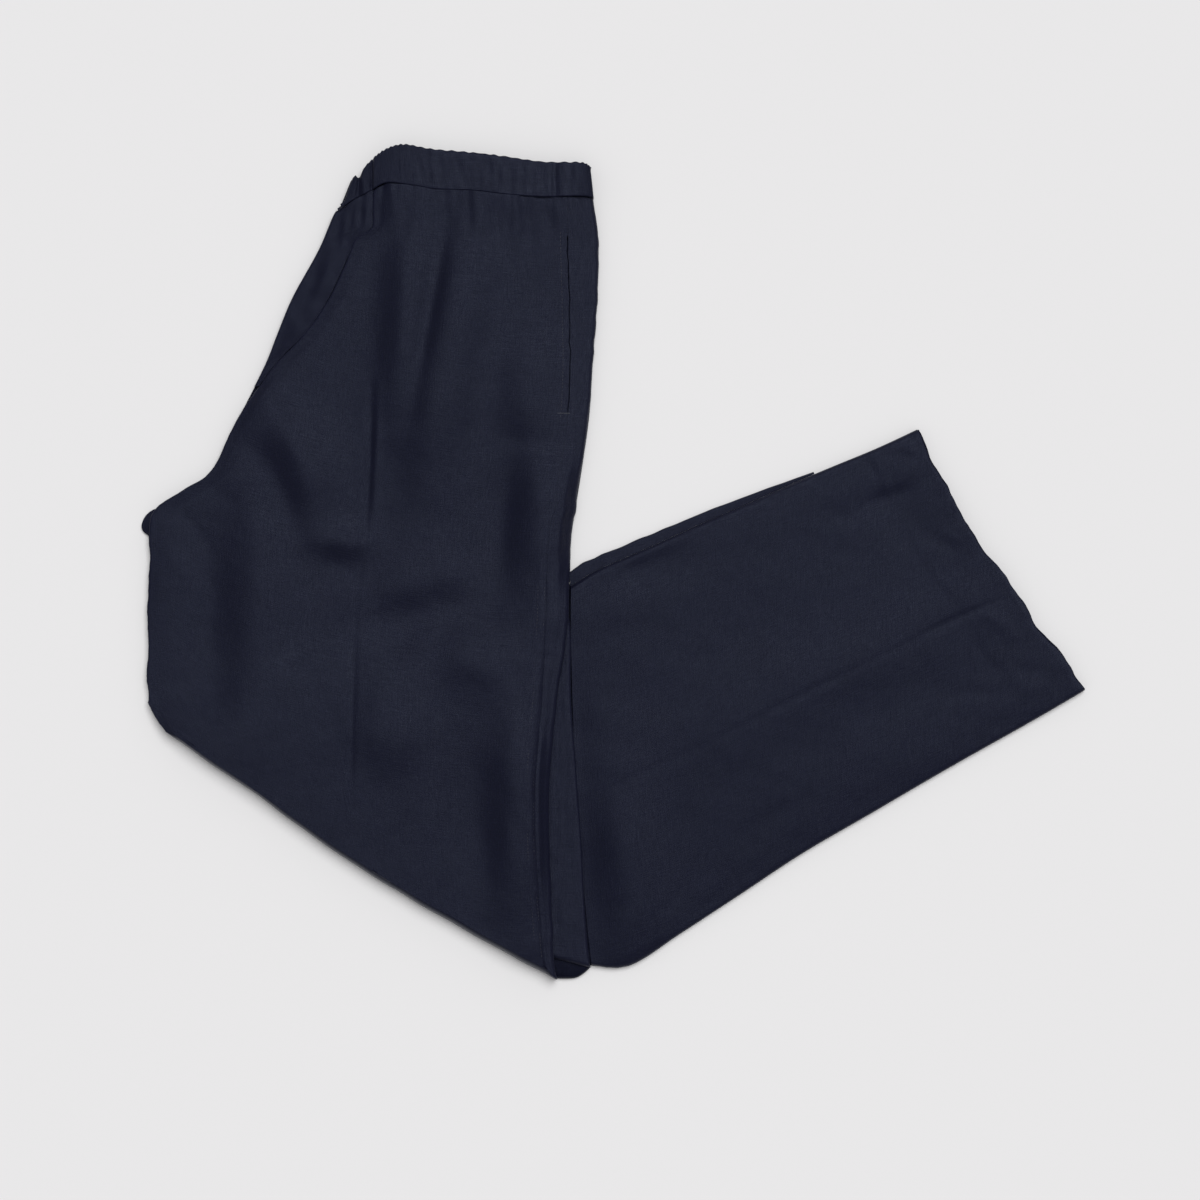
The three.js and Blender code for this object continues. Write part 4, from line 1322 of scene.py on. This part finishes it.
class StageSettings(bpy.types.PropertyGroup):
    floor_colour: FloatVectorProperty(name="Floor colour", description="Colour of the pale surface",
                                      default=(0.8, 0.795, 0.8), subtype="COLOR", min=0, max=1)
    camera_height: FloatProperty(name="Camera height", description="Height of the camera above the surface",
                                 default=2.0, min=0.5, max=5, unit="LENGTH")
    view_width: FloatProperty(name="View width", description="Width of the surface that the camera sees",
                              default=0.864, min=0.2, max=3, unit="LENGTH")
    key_power: FloatProperty(name="Key light", description="Strength of the large soft light",
                             default=2.2, min=0, max=20)
    fill: FloatProperty(name="Fill light", description="Strength of the even light from all round",
                        default=0.38, min=0, max=10)


def cloth_settings():
    return bpy.context.scene.trousers_cloth


def main_cloth():
    return cloth_material("navy_cloth", cloth_settings())


# Painted shade: a darker, less lustrous copy of the navy cloth for the hidden layers, the layers under the
# knee, the lower hems and the pocket facing, which lie in shade.
def shaded_cloth():
    return cloth_material("navy_cloth_inside", cloth_settings(), shade=0.8, lustre=0.4)


class TROUSERS_OT_left_leg(bpy.types.Operator):
    """Make the left leg's cloth: front, back, pocket facing and inseam edge"""

    bl_idname = "trousers.left_leg"
    bl_label = "Left leg"

    def execute(self, context):
        thickness = cloth_settings().thickness / MM
        make_front_left(main_cloth(), thickness)
        make_back_left(main_cloth(), thickness)
        make_pocket_facing(shaded_cloth())
        make_left_inseam(main_cloth(), thickness)
        return {"FINISHED"}


class TROUSERS_OT_right_leg(bpy.types.Operator):
    """Make the right leg's cloth: hip, lower leg, knee and crotch point"""

    bl_idname = "trousers.right_leg"
    bl_label = "Right leg"

    def execute(self, context):
        thickness = cloth_settings().thickness / MM
        make_right_hip(main_cloth(), thickness)
        make_right_shin(main_cloth(), thickness)
        make_right_knee(main_cloth(), thickness)
        make_right_crotch(main_cloth())
        return {"FINISHED"}


class TROUSERS_OT_waistband(bpy.types.Operator):
    """Make the gathered waistband and the bands under it"""

    bl_idname = "trousers.waistband"
    bl_label = "Waistband"

    def execute(self, context):
        material = cloth_material("navy_waistband", cloth_settings(), shade=0.97, lustre=0.95)
        for band in BANDS:
            make_band(material, *band)
        return {"FINISHED"}


class TROUSERS_OT_hidden_layers(bpy.types.Operator):
    """Make the edges of the hidden layers and their hems"""

    bl_idname = "trousers.hidden_layers"
    bl_label = "Hidden layers"

    def execute(self, context):
        make_hidden_layers(shaded_cloth())
        make_knee_under(shaded_cloth())
        make_lower_hems(shaded_cloth())
        return {"FINISHED"}


class TROUSERS_OT_stitches(bpy.types.Operator):
    """Sew the pocket's topstitching and tack, the side seam and the hem"""

    bl_idname = "trousers.stitches"
    bl_label = "Stitches"

    def execute(self, context):
        settings = context.scene.trousers_stitch
        tree = stitch_tree()
        thread = thread_material("sewing_thread", settings.thread_colour)
        tack = thread_material("tack_thread", settings.tack_colour)
        size = settings.length, settings.thread
        rows = (
            ("pocket_topstitch", [pocket_stitch_path()], settings.pitch, *size, thread),
            ("pocket_bar_tack", [bar_tack_path()], *BAR_TACK_SIZES, tack),
            ("side_seam_stitch", side_seam_paths(), settings.pitch, *size, thread),
            ("hem_blind_stitch", [hem_stitch_path()], *HEM_STITCH_SIZES, settings.thread, thread),
        )
        for name, paths, *sizes in rows:
            dress(stitch_row(name, tree, paths, *sizes), "cloth")
        bpy.data.node_groups.remove(tree)
        return {"FINISHED"}


class TROUSERS_OT_stage(bpy.types.Operator):
    """Set the pale surface, the soft lights and the camera straight above"""

    bl_idname = "trousers.stage"
    bl_label = "Stage"

    def execute(self, context):
        settings = context.scene.trousers_stage
        context.scene.view_settings.view_transform = "Standard"
        make_floor(settings)
        make_lights(settings)
        make_camera(settings)
        return {"FINISHED"}


# The pale surface, in metres
FLOOR_REACH = 20.0
FLOOR_DROP = 0.0002


def make_floor(settings):
    mesh = bpy.data.meshes.new("pale_surface")
    corners = [(FLOOR_REACH * x, FLOOR_REACH * y, 0) for x, y in ((-1, -1), (1, -1), (1, 1), (-1, 1))]
    mesh.from_pydata(corners, [], [(0, 1, 2, 3)])
    material, _, shader = new_material("pale_surface")
    set_inputs(shader, {"Base Color": (*settings.floor_colour, 1), "Roughness": 0.9})
    set_inputs(shader, {"Specular IOR Level": 0.1})
    mesh.materials.append(material)
    floor = placed("pale_surface", mesh)
    floor.location.z = -FLOOR_DROP


# Where the soft light comes from, and how widely it spreads
KEY_LIGHT = {"from": (0.2, 0.37, 0.91), "spread": math.radians(40)}


def make_lights(settings):
    light = bpy.data.lights.new("key", "SUN")
    light.angle = KEY_LIGHT["spread"]
    light.energy = settings.key_power
    key = placed("key", light)
    key.rotation_euler = (-Vector(KEY_LIGHT["from"])).to_track_quat("-Z", "Y").to_euler()
    world = bpy.data.worlds.new("soft_room")
    world.use_nodes = True
    background = world.node_tree.nodes["Background"]
    set_inputs(background, {"Color": (1.0, 0.995, 1.0, 1), "Strength": settings.fill})
    bpy.context.scene.world = world


# The point at the middle of the view and the height at which the view has its width, in metres
VIEW_MIDDLE = (-0.00825, -0.0272)
VIEW_LEVEL = 0.01
SENSOR = 36.0


def make_camera(settings):
    data = bpy.data.cameras.new("camera")
    data.sensor_fit = "HORIZONTAL"
    data.sensor_width = SENSOR
    data.lens = SENSOR * (settings.camera_height - VIEW_LEVEL) / settings.view_width
    camera = placed("camera", data)
    camera.location = (*VIEW_MIDDLE, settings.camera_height)
    bpy.context.scene.camera = camera


class TROUSERS_PT_panel(bpy.types.Panel):
    """Steps and sizes of the folded trousers"""

    bl_label = "Folded trousers"
    bl_idname = "TROUSERS_PT_panel"
    bl_space_type = "VIEW_3D"
    bl_region_type = "UI"
    bl_category = "Trousers"

    def draw(self, context):
        scene = context.scene
        for settings in (scene.trousers_cloth, scene.trousers_stitch, scene.trousers_stage):
            box = self.layout.box()
            for name in settings.__annotations__:
                box.prop(settings, name)
        for step in STEPS:
            self.layout.operator(step.bl_idname)


STEPS = (
    TROUSERS_OT_stage,
    TROUSERS_OT_hidden_layers,
    TROUSERS_OT_left_leg,
    TROUSERS_OT_right_leg,
    TROUSERS_OT_waistband,
    TROUSERS_OT_stitches,
)
CLASSES = (ClothSettings, StitchSettings, StageSettings, *STEPS, TROUSERS_PT_panel)


def register():
    for item in CLASSES:
        bpy.utils.register_class(item)
    bpy.types.Scene.trousers_cloth = PointerProperty(type=ClothSettings)
    bpy.types.Scene.trousers_stitch = PointerProperty(type=StitchSettings)
    bpy.types.Scene.trousers_stage = PointerProperty(type=StageSettings)


def unregister():
    for name in ("trousers_stage", "trousers_stitch", "trousers_cloth"):
        delattr(bpy.types.Scene, name)
    for item in reversed(CLASSES):
        bpy.utils.unregister_class(item)


def main():
    register()
    for step in STEPS:
        group, name = step.bl_idname.split(".")
        getattr(getattr(bpy.ops, group), name)()


if __name__ == "__main__":
    main()
